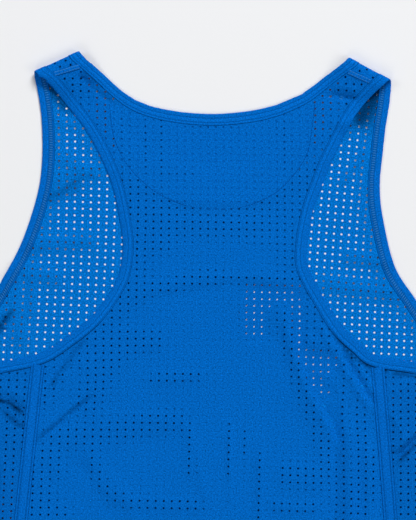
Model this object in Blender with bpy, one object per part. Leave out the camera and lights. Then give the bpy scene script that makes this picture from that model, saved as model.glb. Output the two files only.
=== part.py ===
# Running singlet, laid flat with its back up: the neck points to +Y and the front panel
# lies underneath. Sizes are in millimetres, across from the middle (left is negative) and
# down from the top of the shoulders, until the objects are made in metres.
#
# Points on a panel are cloth points: plan coordinates as long as the cloth lies flat, and
# carried on in the same plane past a fold, where the cloth turns over.

from math import pi

import bpy
import bmesh
import numpy as np
from mathutils.geometry import delaunay_2d_cdt

MM = 0.001
SIDES = ("left", "right")

# Walls and strips
WALL = 1.0
GAP = 0.3
STRIP_WALL = 1.0
LIP = GAP + STRIP_WALL
NECK_BINDING = 10.0
ARM_BINDING = 10.5
TAPE = 11.0
TAPE_START = 4.0

# Mesh spacing
CELL = 22.0
STATION = 16.0
FOLD_STEPS = 4
DENSE = 0.5
CLEAR = 0.42 * CELL
OVERRUN = 16.0
MERGE = 0.01
SHARP = pi / 4

# How the layers lie
REST = WALL / 2
EDGE_SLOPE = 14.0
LAYER_GAP = 4.2
BODY_GAP = 1.8
BODY_TOP = 150.0
BODY_CLEAR = 16.0
BODY_REACH = 50.0
SIDE_GAP = 5.0
SIDE_REACH = 60.0
SHOULDER_GAP = 8.0
SHOULDER_REACH = 38.0
YOKE_RISE = 0.4
YOKE_MIDDLE = (0.0, 80.0)
YOKE_REACH = (100.0, 62.0)

# Fold lines: two points on the outermost line, the side that is outside, and the layers' gap
FOLDS = {
    "side_left": {"a": (-249.0, 271.0), "b": (-272.0, 692.0), "out": (-1, 0), "gap": SIDE_GAP},
    "side_right": {"a": (249.0, 274.5), "b": (258.0, 698.0), "out": (1, 0), "gap": SIDE_GAP},
    "shoulder_left": {"a": (-145.5, 17.0), "b": (-120.0, 5.5), "out": (0, 1), "gap": SHOULDER_GAP},
    "shoulder_right": {"a": (132.0, 12.5), "b": (152.5, 23.5), "out": (0, 1), "gap": SHOULDER_GAP},
}

# Seams on the back: each shoulder's from neck to armhole, each side's from armhole to hem
SHOULDER_SEAMS = {
    "left": [(-90.0, 8.0), (-150.0, 25.9)],
    "right": [(103.0, 10.8), (156.0, 34.6)],
}
SIDE_SEAMS = {
    "left": [(-143.0, 250.0), (-144.5, 268.0), (-158.0, 394.0), (-176.0, 560.0), (-189.0, 693.0)],
    "right": [(143.0, 250.0), (144.5, 268.0), (155.0, 394.0), (167.0, 560.0), (176.0, 697.0)],
}
HEM = [(-272.0, 692.0), (258.0, 698.0)]

# Outlines, each point across and down. The neck runs left to right, an armhole from its shoulder
NECK_BACK = [
    (-109.5, 0.0), (-101.0, 7.0), (-87.5, 19.0), (-74.0, 31.5), (-60.5, 41.0), (-43.5, 47.5),
    (-19.5, 52.0), (7.5, 53.5), (35.0, 51.0), (55.0, 46.5), (69.0, 41.0), (82.5, 34.0),
    (103.0, 18.0), (120.5, 5.0),
]
NECK_FRONT = [
    (-109.5, 0.0), (-104.5, 18.0), (-99.5, 37.5), (-94.0, 57.0), (-84.0, 77.5), (-64.0, 96.0),
    (-33.0, 109.5), (3.5, 115.0), (41.0, 111.5), (71.5, 98.5), (92.0, 80.0), (102.0, 58.5),
    (108.0, 39.0), (114.5, 22.0), (120.5, 5.0),
]
ARM_BACK = {
    "left": [
        (-148.0, 19.0), (-134.0, 30.5), (-120.0, 47.5), (-103.5, 69.5), (-90.0, 95.0),
        (-81.5, 117.5), (-75.0, 149.0), (-73.5, 169.0), (-78.5, 194.0), (-97.0, 222.0),
        (-120.0, 241.5), (-143.0, 256.0), (-176.0, 263.5), (-214.0, 269.5), (-249.0, 271.5),
    ],
    "right": [
        (157.0, 25.5), (151.0, 28.5), (133.0, 46.5), (122.0, 62.5), (105.5, 95.0),
        (98.0, 114.0), (90.0, 137.5), (85.0, 166.0), (86.5, 185.5), (102.0, 214.0),
        (115.0, 234.0), (130.0, 248.5), (143.5, 258.5), (174.0, 266.5), (211.0, 272.5),
        (249.0, 275.0),
    ],
}
ARM_FRONT = {
    "left": [
        (-148.0, 19.0), (-143.5, 40.0), (-141.0, 60.5), (-140.5, 91.0), (-144.5, 121.5),
        (-158.0, 162.5), (-176.0, 196.5), (-189.5, 218.5), (-206.5, 240.5), (-225.0, 259.5),
        (-238.5, 267.5), (-249.0, 271.5),
    ],
    "right": [
        (157.0, 25.5), (155.0, 45.0), (151.5, 66.5), (149.0, 87.5), (146.5, 115.0),
        (149.0, 142.0), (159.0, 183.0), (176.0, 210.0), (188.5, 228.5), (205.0, 249.0),
        (223.5, 264.5), (237.5, 271.5), (249.0, 275.0),
    ],
}
HALF_MOON = [
    (-83.5, 45.0), (-81.0, 67.0), (-75.5, 84.0), (-65.5, 100.5), (-47.5, 117.5), (-31.5, 126.5),
    (-14.5, 132.5), (7.0, 134.5), (28.0, 133.0), (47.0, 126.5), (61.0, 118.0), (75.0, 103.0),
    (85.0, 86.0), (89.0, 63.0), (91.0, 45.0),
]

# Largest folds of the cloth: middle, half length, half width, turn in degrees and height
LOWER_FOLDS = [
    {"across": -120, "down": 175, "long": 60, "wide": 18, "turn": 4, "high": 2.6},
    {"across": -160, "down": 212, "long": 46, "wide": 16, "turn": 12, "high": 3.2},
    {"across": 135, "down": 184, "long": 62, "wide": 16, "turn": -8, "high": 2.8},
    {"across": 140, "down": 212, "long": 58, "wide": 15, "turn": -14, "high": 3.4},
    {"across": -132, "down": 118, "long": 34, "wide": 15, "turn": 20, "high": 1.8},
    {"across": 20, "down": 470, "long": 120, "wide": 26, "turn": 10, "high": 2.2},
]
UPPER_FOLDS = [
    {"across": -125, "down": 275, "long": 40, "wide": 16, "turn": 52, "high": 1.8},
    {"across": 122, "down": 290, "long": 42, "wide": 16, "turn": -62, "high": 2.2},
    {"across": 118, "down": 360, "long": 70, "wide": 18, "turn": -86, "high": 1.6},
    {"across": -128, "down": 330, "long": 40, "wide": 18, "turn": 38, "high": 1.2},
    {"across": -30, "down": 262, "long": 90, "wide": 30, "turn": 4, "high": 1.4},
    {"across": 52, "down": 232, "long": 50, "wide": 24, "turn": -10, "high": 1.4},
    {"across": -60, "down": 520, "long": 90, "wide": 28, "turn": 60, "high": 1.8},
    {"across": 90, "down": 600, "long": 80, "wide": 26, "turn": 78, "high": 1.6},
]

# Colours as seen, red, green and blue up to 255
COLOURS = {
    "front_panel": (6, 104, 194),
    "back_panel": (3, 98, 188),
    "neck_facing": (3, 92, 180),
    "neck_binding": (4, 96, 187),
    "armhole_binding_left": (5, 97, 187),
    "armhole_binding_right": (5, 97, 187),
    "seam_tape_left": (4, 88, 174),
    "seam_tape_right": (4, 88, 174),
}
CLOTH_ROUGHNESS = 0.75


# Curves

def plan(points):
    """Points given across and down, in plan coordinates."""
    return np.array(points, float) * (1, -1)


def smooth(points):
    """A Catmull-Rom curve through the points, as close points."""
    ends = np.vstack([2 * points[0] - points[1], points, 2 * points[-1] - points[-2]])
    runs = []
    for a, b, c, d in zip(ends, ends[1:], ends[2:], ends[3:]):
        count = max(2, int(np.linalg.norm(c - b) / DENSE))
        t = np.linspace(0, 1, count, endpoint=False)[:, None]
        bend = 2 * a - 5 * b + 4 * c - d
        turn = 3 * b - a - 3 * c + d
        runs.append(b + t * (c - a) / 2 + t**2 * bend / 2 + t**3 * turn / 2)
    return np.vstack(runs + [points[-1:]])


def to_left(curve, distance):
    """The curve moved sideways, to the left of its own direction."""
    along = np.gradient(curve, axis=0)
    along /= np.linalg.norm(along, axis=1)[:, None]
    return curve + distance * np.stack([-along[:, 1], along[:, 0]], axis=1)


def overrun(curve):
    """The curve carried straight on past both ends."""
    parts = []
    for end, before in ((curve[0], curve[1]), (curve[-1], curve[-2])):
        way = (end - before) / np.linalg.norm(end - before)
        parts.append(end + np.arange(DENSE, OVERRUN, DENSE)[:, None] * way)
    return np.vstack([parts[0][::-1], curve, parts[1]])


def evenly(curve, step):
    """Points of the curve about one step apart, both ends included."""
    steps = np.linalg.norm(np.diff(curve, axis=0), axis=1)
    far = np.concatenate([[0], np.cumsum(steps)])
    at = np.linspace(0, far[-1], max(1, round(far[-1] / step)) + 1)
    return np.stack([np.interp(at, far, curve[:, k]) for k in range(2)], axis=1)


def inside(points, outline):
    """Which points lie inside a closed outline, by counting crossings."""
    a, b = outline, np.roll(outline, -1, axis=0)
    x, y = points[:, :1], points[:, 1:]
    crosses = (a[:, 1] > y) != (b[:, 1] > y)
    rise = np.where(b[:, 1] == a[:, 1], 1.0, b[:, 1] - a[:, 1])
    at = a[:, 0] + (y - a[:, 1]) / rise * (b[:, 0] - a[:, 0])
    return (crosses & (x < at)).sum(axis=1) % 2 == 1


def from_curve(points, curve):
    """Each point's distance to the nearest point of a curve."""
    squares = ((points[:, None] - curve[None]) ** 2).sum(axis=2)
    return np.sqrt(squares.min(axis=1))


def from_stretch(points, a, b):
    """Each point's distance to the straight stretch from a to b."""
    share = np.clip((points - a) @ (b - a) / ((b - a) @ (b - a)), 0, 1)
    return np.linalg.norm(points - (a + share[:, None] * (b - a)), axis=1)


# Folds: past its start line, cloth goes round a half turn and back over the layer below

class Fold:
    def __init__(self, a, b, out, gap):
        self.a, self.b = plan([a, b])
        self.along = (self.b - self.a) / np.linalg.norm(self.b - self.a)
        self.normal = np.array([-self.along[1], self.along[0]])
        if self.normal @ np.array(out, float) < 0:
            self.normal = -self.normal
        self.radius = gap / 2
        self.arc = pi * self.radius
        self.start = self.a - self.normal * self.radius

    def past(self, points):
        """How far points lie past the start line."""
        return (points - self.start) @ self.normal

    def folded(self, points):
        """Cloth points in plan, and how far they are up between the layers, from 0 to 1."""
        past = np.maximum(self.past(points), 0)
        angle = np.minimum(past / self.radius, pi)
        back = np.maximum(past - self.arc, 0)
        shift = self.radius * np.sin(angle) - back - past
        return points + shift[:, None] * self.normal, (1 - np.cos(angle)) / 2

    def unfolded(self, points):
        """Cloth points for plan points of the turned cloth on top."""
        back = -self.past(points)
        return points + (2 * back + self.arc)[:, None] * self.normal


folds = {name: Fold(**row) for name, row in FOLDS.items()}


# Heights of the two layers

front_outlines = np.vstack([smooth(plan(points)) for points in (NECK_FRONT, *ARM_FRONT.values())])
arm_outlines = np.vstack([
    smooth(plan(points)) for points in (*ARM_BACK.values(), *ARM_FRONT.values())
])


def ridges(points, rows):
    """The height of soft rises that die away along and across."""
    high = np.zeros(len(points))
    for row in rows:
        offset = points - (row["across"], -row["down"])
        angle = np.radians(row["turn"])
        along = offset @ (np.cos(angle), np.sin(angle)) / row["long"]
        side = offset @ (-np.sin(angle), np.cos(angle)) / row["wide"]
        high += row["high"] * np.exp(-(along**2) - side**2)
    return high


def ramp(distance, reach):
    """1 at no distance, falling smoothly to 0 at the reach."""
    t = np.clip(distance / reach, 0, 1)
    return 1 - t * t * (3 - 2 * t)


def nearness(points, kind, reach):
    """How close points are to the side folds or to the shoulder folds, from 0 to 1."""
    near = np.zeros(len(points))
    for name, fold in folds.items():
        if name.startswith(kind):
            away = np.maximum(from_stretch(points, fold.a, fold.b) - fold.radius, 0)
            near = np.maximum(near, ramp(away, reach))
    return near


def lower_height(points):
    """The middle of the lower wall: raised at its bound edges by the binding under it."""
    sides = nearness(points, "side", SIDE_REACH)
    shoulders = nearness(points, "shoulder", SHOULDER_REACH)
    edge = from_curve(points, front_outlines)
    raised_edge = LIP * ramp(np.maximum(edge - ARM_BINDING - LIP, 0), EDGE_SLOPE)
    return REST + raised_edge + ridges(points, LOWER_FOLDS) * (1 - sides) * (1 - shoulders)


def body_share(points):
    """0 at the yoke and by the armholes, where bindings lie between, and 1 over the body."""
    lower = 1 - ramp(-points[:, 1] - BODY_TOP, BODY_REACH)
    return lower * (1 - ramp(from_curve(points, arm_outlines) - BODY_CLEAR, BODY_REACH))


def layer_gap(points):
    """How far the middle of the upper wall lies above the middle of the lower one."""
    flat = LAYER_GAP + (BODY_GAP - LAYER_GAP) * body_share(points)
    sides = nearness(points, "side", SIDE_REACH)
    shoulders = nearness(points, "shoulder", SHOULDER_REACH)
    offset = (points - plan([YOKE_MIDDLE])) / YOKE_REACH
    yoke = YOKE_RISE * np.exp(-(offset**2).sum(axis=1))
    puffs = (yoke + ridges(points, UPPER_FOLDS)) * (1 - sides) * (1 - shoulders)
    wide = (SIDE_GAP - flat) * sides + (SHOULDER_GAP - flat) * shoulders
    return flat + wide + puffs


def laid_front(points):
    """The front's cloth points as they lie, turned over at the sides and the shoulders."""
    places, lift = points.copy(), np.zeros(len(points))
    for fold in folds.values():
        beyond = fold.past(points) > 0
        places[beyond], lift[beyond] = fold.folded(points[beyond])
    return np.column_stack([places, lower_height(places) + lift * layer_gap(places)])


def laid_back(points):
    """The back's cloth points as they lie."""
    return np.column_stack([points, lower_height(points) + layer_gap(points)])


def directions(points, lay):
    """The laid cloth's own direction at each point."""
    step = 0.05
    a = lay(points + (step, 0)) - lay(points - (step, 0))
    b = lay(points + (0, step)) - lay(points - (0, step))
    normals = np.cross(a, b)
    return normals / np.linalg.norm(normals, axis=1)[:, None]


# Bound edges: stations along an edge, each with a point on the panel's edge, a lip inside the
# outline, and a point on the binding's inner line

class Rungs:
    def __init__(self, edge, inner):
        self.edge, self.inner = np.atleast_2d(edge), np.atleast_2d(inner)

    def __add__(self, other):
        return Rungs(np.vstack([self.edge, other.edge]), np.vstack([self.inner, other.inner]))

    def changed(self, change):
        return Rungs(change(self.edge), change(self.inner))

    def part(self, first, last):
        return Rungs(self.edge[first:last], self.inner[first:last])

    def reversed(self):
        return Rungs(self.edge[::-1], self.inner[::-1])

    def moved_end(self, index, shift):
        """The same stations with the one at this index moved."""
        edge, inner = self.edge.copy(), self.inner.copy()
        edge[index] += shift
        inner[index] += shift
        return Rungs(edge, inner)


def nearest_index(curve, line):
    return int(np.argmin(from_curve(curve, line)))


class Edge:
    """An outline's panel edge and inner line, and the stations between lines that cross both."""

    def __init__(self, outline, width, side):
        curve = overrun(smooth(plan(outline)))
        self.edge, self.inner = to_left(curve, side * LIP), to_left(curve, side * width)

    def crossing(self, line):
        return nearest_index(self.edge, line), nearest_index(self.inner, line)

    def between(self, start, end):
        """Stations from one pair of indices to another, ends included."""
        count = max(1, round(abs(end[0] - start[0]) * DENSE / STATION)) + 1
        picks = [np.rint(np.linspace(start[k], end[k], count)).astype(int) for k in range(2)]
        return Rungs(self.edge[picks[0]], self.inner[picks[1]])


def start_line(fold):
    """Close points of a fold's start line, carried on past both ends."""
    middle = (fold.a + fold.b) / 2 - fold.normal * fold.radius
    half = np.linalg.norm(fold.b - fold.a) / 2 + CELL
    return evenly(np.array([middle - half * fold.along, middle + half * fold.along]), DENSE)


def round_fold(low, high):
    """Stations round a fold, from the lower layer's last one to the turned cloth's first."""
    steps = np.linspace(0, 1, FOLD_STEPS + 1)[:, None]
    return Rungs(low.edge + steps * (high.edge - low.edge), low.inner + steps * (high.inner - low.inner))


def bound_edge(upper, lower, width, side, fold_a, fold_b, seam_a, seam_b, nudge_a, nudge_b):
    """One whole edge, as stations for the back between its seams, for the front from seam b
    round both folds to seam a, and for both turns from the fold's start to its end. The seams'
    stations are nudged apart by the gap between the panels."""
    up, low = Edge(upper, width, side), Edge(lower, width, side)
    fold_lines = start_line(fold_a), start_line(fold_b)
    marks = [up.crossing(line) for line in (fold_lines[0], seam_a, seam_b, fold_lines[1])]
    first, back, last = (up.between(*pair) for pair in zip(marks, marks[1:]))
    under = low.between(low.crossing(fold_lines[1]), low.crossing(fold_lines[0]))
    back = back.moved_end(0, nudge_a).moved_end(-1, nudge_b)
    first = first.moved_end(-1, -nudge_a).changed(fold_a.unfolded)
    last = last.moved_end(0, -nudge_b).changed(fold_b.unfolded)
    turn_a = round_fold(under.part(-1, None), first.part(0, 1))
    turn_b = round_fold(under.part(0, 1), last.part(-1, None))
    front = last.part(0, -1) + turn_b.reversed() + under.part(1, -1) + turn_a + first.part(1, None)
    return {"back": back, "front": front, "turns": (turn_a, turn_b)}


shoulder_seams = {side: evenly(plan(row), DENSE) for side, row in SHOULDER_SEAMS.items()}
side_seams = {side: smooth(plan(row)) for side, row in SIDE_SEAMS.items()}
inwards = {"left": np.array([GAP / 2, 0]), "right": np.array([-GAP / 2, 0])}
downwards = {side: -folds[f"shoulder_{side}"].normal * GAP / 2 for side in SIDES}

neck = bound_edge(
    NECK_BACK, NECK_FRONT, NECK_BINDING, -1,
    folds["shoulder_left"], folds["shoulder_right"],
    shoulder_seams["left"], shoulder_seams["right"], downwards["left"], downwards["right"],
)
arms = {
    side: bound_edge(
        ARM_BACK[side], ARM_FRONT[side], ARM_BINDING, turn,
        folds[f"shoulder_{side}"], folds[f"side_{side}"],
        shoulder_seams[side], side_seams[side], downwards[side], inwards[side],
    )
    for side, turn in (("left", 1), ("right", -1))
}


# Side seams below the armhole bindings, and the edges of their tapes

def below(side):
    """Points of a side seam from just under the armhole binding to the hem."""
    seam = side_seams[side]
    first = nearest_index(seam, arms[side]["back"].inner[-1:])
    last = nearest_index(seam, evenly(plan(HEM), DENSE))
    return evenly(seam[first + int(TAPE_START / DENSE): last + 1], CELL)


seam_points = {side: below(side) for side in SIDES}
tape_edges = {
    side: {"left": to_left(seam_points[side], -TAPE / 2), "right": to_left(seam_points[side], TAPE / 2)}
    for side in SIDES
}


# Panels, as triangles over their cloth points

def triangulated(outline, lines, spare):
    """Triangles over a closed outline, with the lines kept as edges and spare points between."""
    points, edges = [*outline], []
    for line in lines:
        edges += [(len(points) + i, len(points) + i + 1) for i in range(len(line) - 1)]
        points += [*line]
    points += [*spare]
    made = delaunay_2d_cdt([tuple(p) for p in points], edges, [list(range(len(outline)))], 1, MERGE)
    places, faces = np.array([tuple(p) for p in made[0]]), np.array(made[2])
    return places, faces[inside(places[faces].mean(axis=1), outline)]


def spare_points(inner, lines):
    """A square lattice inside the inner outline, clear of the lines."""
    low, high = inner.min(axis=0), inner.max(axis=0)
    columns = np.arange(low[0] + CELL / 2, high[0], CELL)
    rows = np.arange(low[1] + CELL / 2, high[1], CELL)
    lattice = np.array(np.meshgrid(columns, rows)).reshape(2, -1).T
    lattice = lattice[inside(lattice, inner)]
    close = np.vstack([evenly(line, CLEAR / 2) for line in lines])
    return lattice[from_curve(lattice, close) > CLEAR]


def joined(parts):
    """One closed outline of several parts, without repeated points."""
    points = np.vstack(parts)
    steps = np.linalg.norm(points - np.roll(points, 1, axis=0), axis=1)
    return points[steps > 10 * MERGE]


def band_lines(rungs):
    """The inner line, and a zigzag across the band from station to station."""
    return [rungs.inner, np.stack([rungs.edge, rungs.inner], axis=1).reshape(-1, 2)]


def back_outline(kind):
    """The back's outline, along its edges or along their inner lines."""
    left, right, top = arms["left"]["back"], arms["right"]["back"], neck["back"]
    seams = {side: seam_points[side] + inwards[side] for side in SIDES}
    hem = evenly(np.array([seams["right"][-1], seams["left"][-1]]), CELL)
    return joined([
        getattr(top, kind), top.inner[-1:], right.inner[:1], getattr(right, kind), right.inner[-1:],
        seams["right"], hem, seams["left"][::-1], left.inner[-1:], getattr(left, kind)[::-1],
        left.inner[:1], top.inner[:1],
    ])


def half_moon():
    """The facing's stitched line between two stations of the neck's inner line, and those
    stations."""
    curve, inner = smooth(plan(HALF_MOON)), neck["back"].inner
    first, last = nearest_index(inner, curve[:1]), nearest_index(inner, curve[-1:])
    return np.vstack([inner[first], evenly(curve, STATION), inner[last]]), inner[first: last + 1]


def make_back():
    lines = [half_moon()[0], tape_edges["left"]["right"], tape_edges["right"]["left"]]
    lines += [line for bound in (neck, *arms.values()) for line in band_lines(bound["back"])]
    outline = back_outline("edge")
    seams = [seam_points[side] for side in SIDES]
    return triangulated(outline, lines, spare_points(back_outline("inner"), lines + seams + [outline]))


def hem_turn(side):
    """The front's hem in cloth points: along the turned cloth from the seam, and round the fold
    from its end to its start."""
    fold, hem = folds[f"side_{side}"], evenly(plan(HEM), DENSE)
    start = hem[np.argmin(np.abs(fold.past(hem)))]
    flap = fold.unfolded(evenly(np.array([seam_points[side][-1] - inwards[side], start]), CELL))
    return flap, start + np.linspace(fold.arc, 0, FOLD_STEPS + 1)[:, None] * fold.normal


def front_outline(kind):
    """The front's outline, along its edges or along their inner lines."""
    left, right, top = arms["left"]["front"], arms["right"]["front"], neck["front"]
    seams = {side: folds[f"side_{side}"].unfolded(seam_points[side] - inwards[side]) for side in SIDES}
    left_hem, right_hem = (np.vstack(hem_turn(side)) for side in SIDES)
    hem = evenly(np.array([right_hem[-1], left_hem[-1]]), CELL)
    return joined([
        left.inner[:1], getattr(left, kind), left.inner[-1:], top.inner[-1:],
        getattr(top, kind)[::-1], top.inner[:1], right.inner[-1:], getattr(right, kind)[::-1],
        right.inner[:1], seams["right"], right_hem, hem, left_hem[::-1], seams["left"][::-1],
    ])


def make_front():
    lines = [line for bound in (neck, *arms.values()) for line in band_lines(bound["front"])]
    for side, neck_turn in zip(SIDES, neck["turns"]):
        arm_shoulder, arm_side = arms[side]["turns"]
        pairs = [*zip(arm_shoulder.inner, neck_turn.inner), *zip(arm_side.inner, hem_turn(side)[1][::-1])]
        lines += [evenly(np.array(pair), CELL) for pair in pairs]
        lines.append(folds[f"side_{side}"].unfolded(tape_edges[side][side]))
    outline = front_outline("edge")
    return triangulated(outline, lines, spare_points(front_outline("inner"), lines + [outline]))


# Solids, as points and faces

# The sides of a binding's section that run from the edge to the inner line
FROM_EDGE = (2, 6)


def walled(places, faces, lay, low, high):
    """A wall between two offsets of the laid cloth."""
    spots, out = lay(places), directions(places, lay)
    count = len(places)
    edges = faces[:, [0, 1, 1, 2, 2, 0]].reshape(-1, 2)
    codes, turned = edges @ (count, 1), edges @ (1, count)
    rim = edges[~np.isin(turned, codes)]
    sides = np.column_stack([rim[:, 1], rim[:, 0], rim[:, 0] + count, rim[:, 1] + count])
    points = np.vstack([spots + high * out, spots + low * out])
    return points, [*faces.tolist(), *(faces[:, ::-1] + count).tolist(), *sides.tolist()]


def bound(stations):
    """A strip folded over a panel's edge and back under it, all round."""
    back = stations["back"].part(1, -1)
    runs = ((stations["front"], laid_front, -1), (back, laid_back, 1))
    edge, inner, edge_out, inner_out = (np.vstack(parts) for parts in zip(*(
        (lay(r.edge), lay(r.inner), side * directions(r.edge, lay), side * directions(r.inner, lay))
        for r, lay, side in runs
    )))
    away = edge - inner
    away /= np.linalg.norm(away, axis=1)[:, None]
    near, far = WALL / 2 + GAP, WALL / 2 + LIP
    section = np.stack([
        inner + far * inner_out, edge + far * edge_out + LIP * away,
        edge - far * edge_out + LIP * away, inner - far * inner_out,
        inner - near * inner_out, edge - near * edge_out + GAP * away,
        edge + near * edge_out + GAP * away, inner + near * inner_out,
    ], axis=1)
    count, corners = section.shape[:2]
    at = np.arange(count * corners).reshape(count, corners)
    along, across = np.roll(at, -1, axis=0), np.roll(at, -1, axis=1)
    both = np.roll(along, -1, axis=1)
    first = np.stack([at, across, both, at, both, along], axis=2)
    turned = np.stack([at, across, along, across, both, along], axis=2)
    faces = np.where(np.isin(np.arange(corners), FROM_EDGE)[None, :, None], turned, first)
    return section.reshape(-1, 3), faces.reshape(-1, 3).tolist()


def make_tape(side):
    """A flat strip over a side seam."""
    rows = [tape_edges[side]["left"], seam_points[side], tape_edges[side]["right"]]
    at = np.arange(3 * len(rows[0])).reshape(3, -1)
    a, b, c, d = at[:-1, :-1], at[1:, :-1], at[1:, 1:], at[:-1, 1:]
    faces = np.vstack([np.stack(t, axis=2).reshape(-1, 3) for t in ((a, b, c), (a, c, d))])
    return walled(np.vstack(rows), faces, laid_back, WALL / 2 + GAP, WALL / 2 + LIP)


def make_facing(places, faces):
    """The back's own triangles inside the half moon, moved down to lie under it."""
    moon, top = half_moon()
    region = joined([top, moon[::-1]])
    kept = faces[inside(places[faces].mean(axis=1), region)]
    used, kept = np.unique(kept, return_inverse=True)
    points, kept = places[used], kept.reshape(-1, 3)
    at_top = from_curve(points, top) < 10 * MERGE
    line = evenly(moon, DENSE)
    towards = line[line[:, 1].argmin()] - points
    towards /= np.linalg.norm(towards, axis=1)[:, None]
    points = points + 2 * GAP * towards * at_top[:, None]
    return walled(points, kept, laid_back, -WALL / 2 - LIP, -WALL / 2 - GAP)


# Objects

def linear(level):
    """A display colour level, up to 255, as a linear value."""
    share = level / 255
    return share / 12.92 if share <= 0.04045 else ((share + 0.055) / 1.055) ** 2.4


def cloth(name):
    material = bpy.data.materials.new(name)
    material.use_nodes = True
    shader = material.node_tree.nodes["Principled BSDF"]
    shader.inputs["Base Color"].default_value = (*map(linear, COLOURS[name]), 1)
    shader.inputs["Roughness"].default_value = CLOTH_ROUGHNESS
    shader.inputs["Metallic"].default_value = 0
    return material


def make_object(name, points, faces):
    mesh = bpy.data.meshes.new(name)
    mesh.from_pydata((points * MM).tolist(), [], faces)
    body = bmesh.new()
    body.from_mesh(mesh)
    bmesh.ops.recalc_face_normals(body, faces=body.faces)
    body.to_mesh(mesh)
    body.free()
    mesh.shade_smooth()
    mesh.set_sharp_from_angle(angle=SHARP)
    mesh.materials.append(cloth(name))
    bpy.context.scene.collection.objects.link(bpy.data.objects.new(name, mesh))


for old in list(bpy.data.objects):
    bpy.data.objects.remove(old)

back_places, back_faces = make_back()
solids = {
    "front_panel": walled(*make_front(), laid_front, -WALL / 2, WALL / 2),
    "back_panel": walled(back_places, back_faces, laid_back, -WALL / 2, WALL / 2),
    "neck_facing": make_facing(back_places, back_faces),
    "neck_binding": bound(neck),
    "armhole_binding_left": bound(arms["left"]),
    "armhole_binding_right": bound(arms["right"]),
    "seam_tape_left": make_tape("left"),
    "seam_tape_right": make_tape("right"),
}
everything = np.vstack([points for points, _ in solids.values()])
low, high = everything.min(axis=0), everything.max(axis=0)
foot = np.array([(low[0] + high[0]) / 2, (low[1] + high[1]) / 2, low[2]])
for name, (points, faces) in solids.items():
    make_object(name, points - foot, faces)
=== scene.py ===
# Running singlet laid flat with its back up: thin perforated knit on the forms of the solids.
# Plan sizes are millimetres, across from the middle and down from the shoulders, as in the part.

import bpy
import numpy as np
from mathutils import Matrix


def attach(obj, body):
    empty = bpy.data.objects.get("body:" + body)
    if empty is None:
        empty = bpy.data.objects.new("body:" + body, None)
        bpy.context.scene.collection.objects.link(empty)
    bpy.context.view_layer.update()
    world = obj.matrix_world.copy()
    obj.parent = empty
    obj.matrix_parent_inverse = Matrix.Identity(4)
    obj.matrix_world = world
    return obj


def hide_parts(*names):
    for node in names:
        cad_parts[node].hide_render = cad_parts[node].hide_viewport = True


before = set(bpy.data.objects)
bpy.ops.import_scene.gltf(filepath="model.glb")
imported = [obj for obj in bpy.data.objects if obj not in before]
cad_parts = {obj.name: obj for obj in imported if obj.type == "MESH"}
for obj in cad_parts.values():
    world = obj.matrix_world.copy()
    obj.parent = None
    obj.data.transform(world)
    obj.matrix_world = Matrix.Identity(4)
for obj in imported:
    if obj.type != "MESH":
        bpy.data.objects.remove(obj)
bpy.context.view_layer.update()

mm = 0.001
foot = np.array((-6.998, -348.332, 0.0))  # where the part's origin lies in plan
sides = ("left", "right")

# The part's own sizes: strips, layers, folds, seams and outlines

strips = {"lip": 1.3, "neck": 10.0, "arm": 10.5, "tape": 11.6, "hem": 18.0}
layers = {
    "rest": 0.2, "touch": 0.36, "edgeRise": 0.95, "edgeSlope": 12.0, "yoke": 1.1, "partedRise": 0.8,
    "body": 1.6, "bodyTop": 150.0, "bodyClear": 6.0, "bodyReach": 18.0,
    "side": 5.0, "sideReach": 60.0, "sideFirm": 14.0, "shoulder": 8.0, "shoulderReach": 38.0,
    "shoulderFirm": 12.0, "neckHang": 1.5, "neckSlack": 1.5, "neckReach": 26.0,
    "armRest": 0.74, "armReach": 9.0, "hemRise": 0.5, "hemReach": 26.0,
}
foldRows = {
    "sideLeft": {"a": (-249.0, 271.0), "b": (-272.0, 692.0), "out": (-1, 0), "gap": layers["side"]},
    "sideRight": {"a": (249.0, 274.5), "b": (258.0, 698.0), "out": (1, 0), "gap": layers["side"]},
    "shoulderLeft": {"a": (-145.5, 17.0), "b": (-120.0, 5.5), "out": (0, 1), "gap": layers["shoulder"]},
    "shoulderRight": {"a": (132.0, 12.5), "b": (152.5, 23.5), "out": (0, 1), "gap": layers["shoulder"]},
}
hem = [foldRows["sideLeft"]["b"], foldRows["sideRight"]["b"]]
shoulderSeams = {
    "left": [(-90.0, 8.0), (-150.0, 25.9)],
    "right": [(103.0, 10.8), (156.0, 34.6)],
}
sideSeams = {
    "left": [(-143.0, 250.0), (-144.5, 268.0), (-158.0, 394.0), (-176.0, 560.0), (-189.0, 693.0)],
    "right": [(143.0, 250.0), (144.5, 268.0), (155.0, 394.0), (167.0, 560.0), (176.0, 697.0)],
}
neckBack = [
    (-109.5, 0.0), (-101.0, 7.0), (-87.5, 19.0), (-74.0, 31.5), (-60.5, 41.0), (-43.5, 47.5),
    (-19.5, 52.0), (7.5, 53.5), (35.0, 51.0), (55.0, 46.5), (69.0, 41.0), (82.5, 34.0),
    (103.0, 18.0), (120.5, 5.0),
]
neckFront = [
    (-109.5, 0.0), (-104.5, 18.0), (-99.5, 37.5), (-94.0, 57.0), (-84.0, 77.5), (-64.0, 96.0),
    (-33.0, 109.5), (3.5, 115.0), (41.0, 111.5), (71.5, 98.5), (92.0, 80.0), (102.0, 58.5),
    (108.0, 39.0), (114.5, 22.0), (120.5, 5.0),
]
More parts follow.
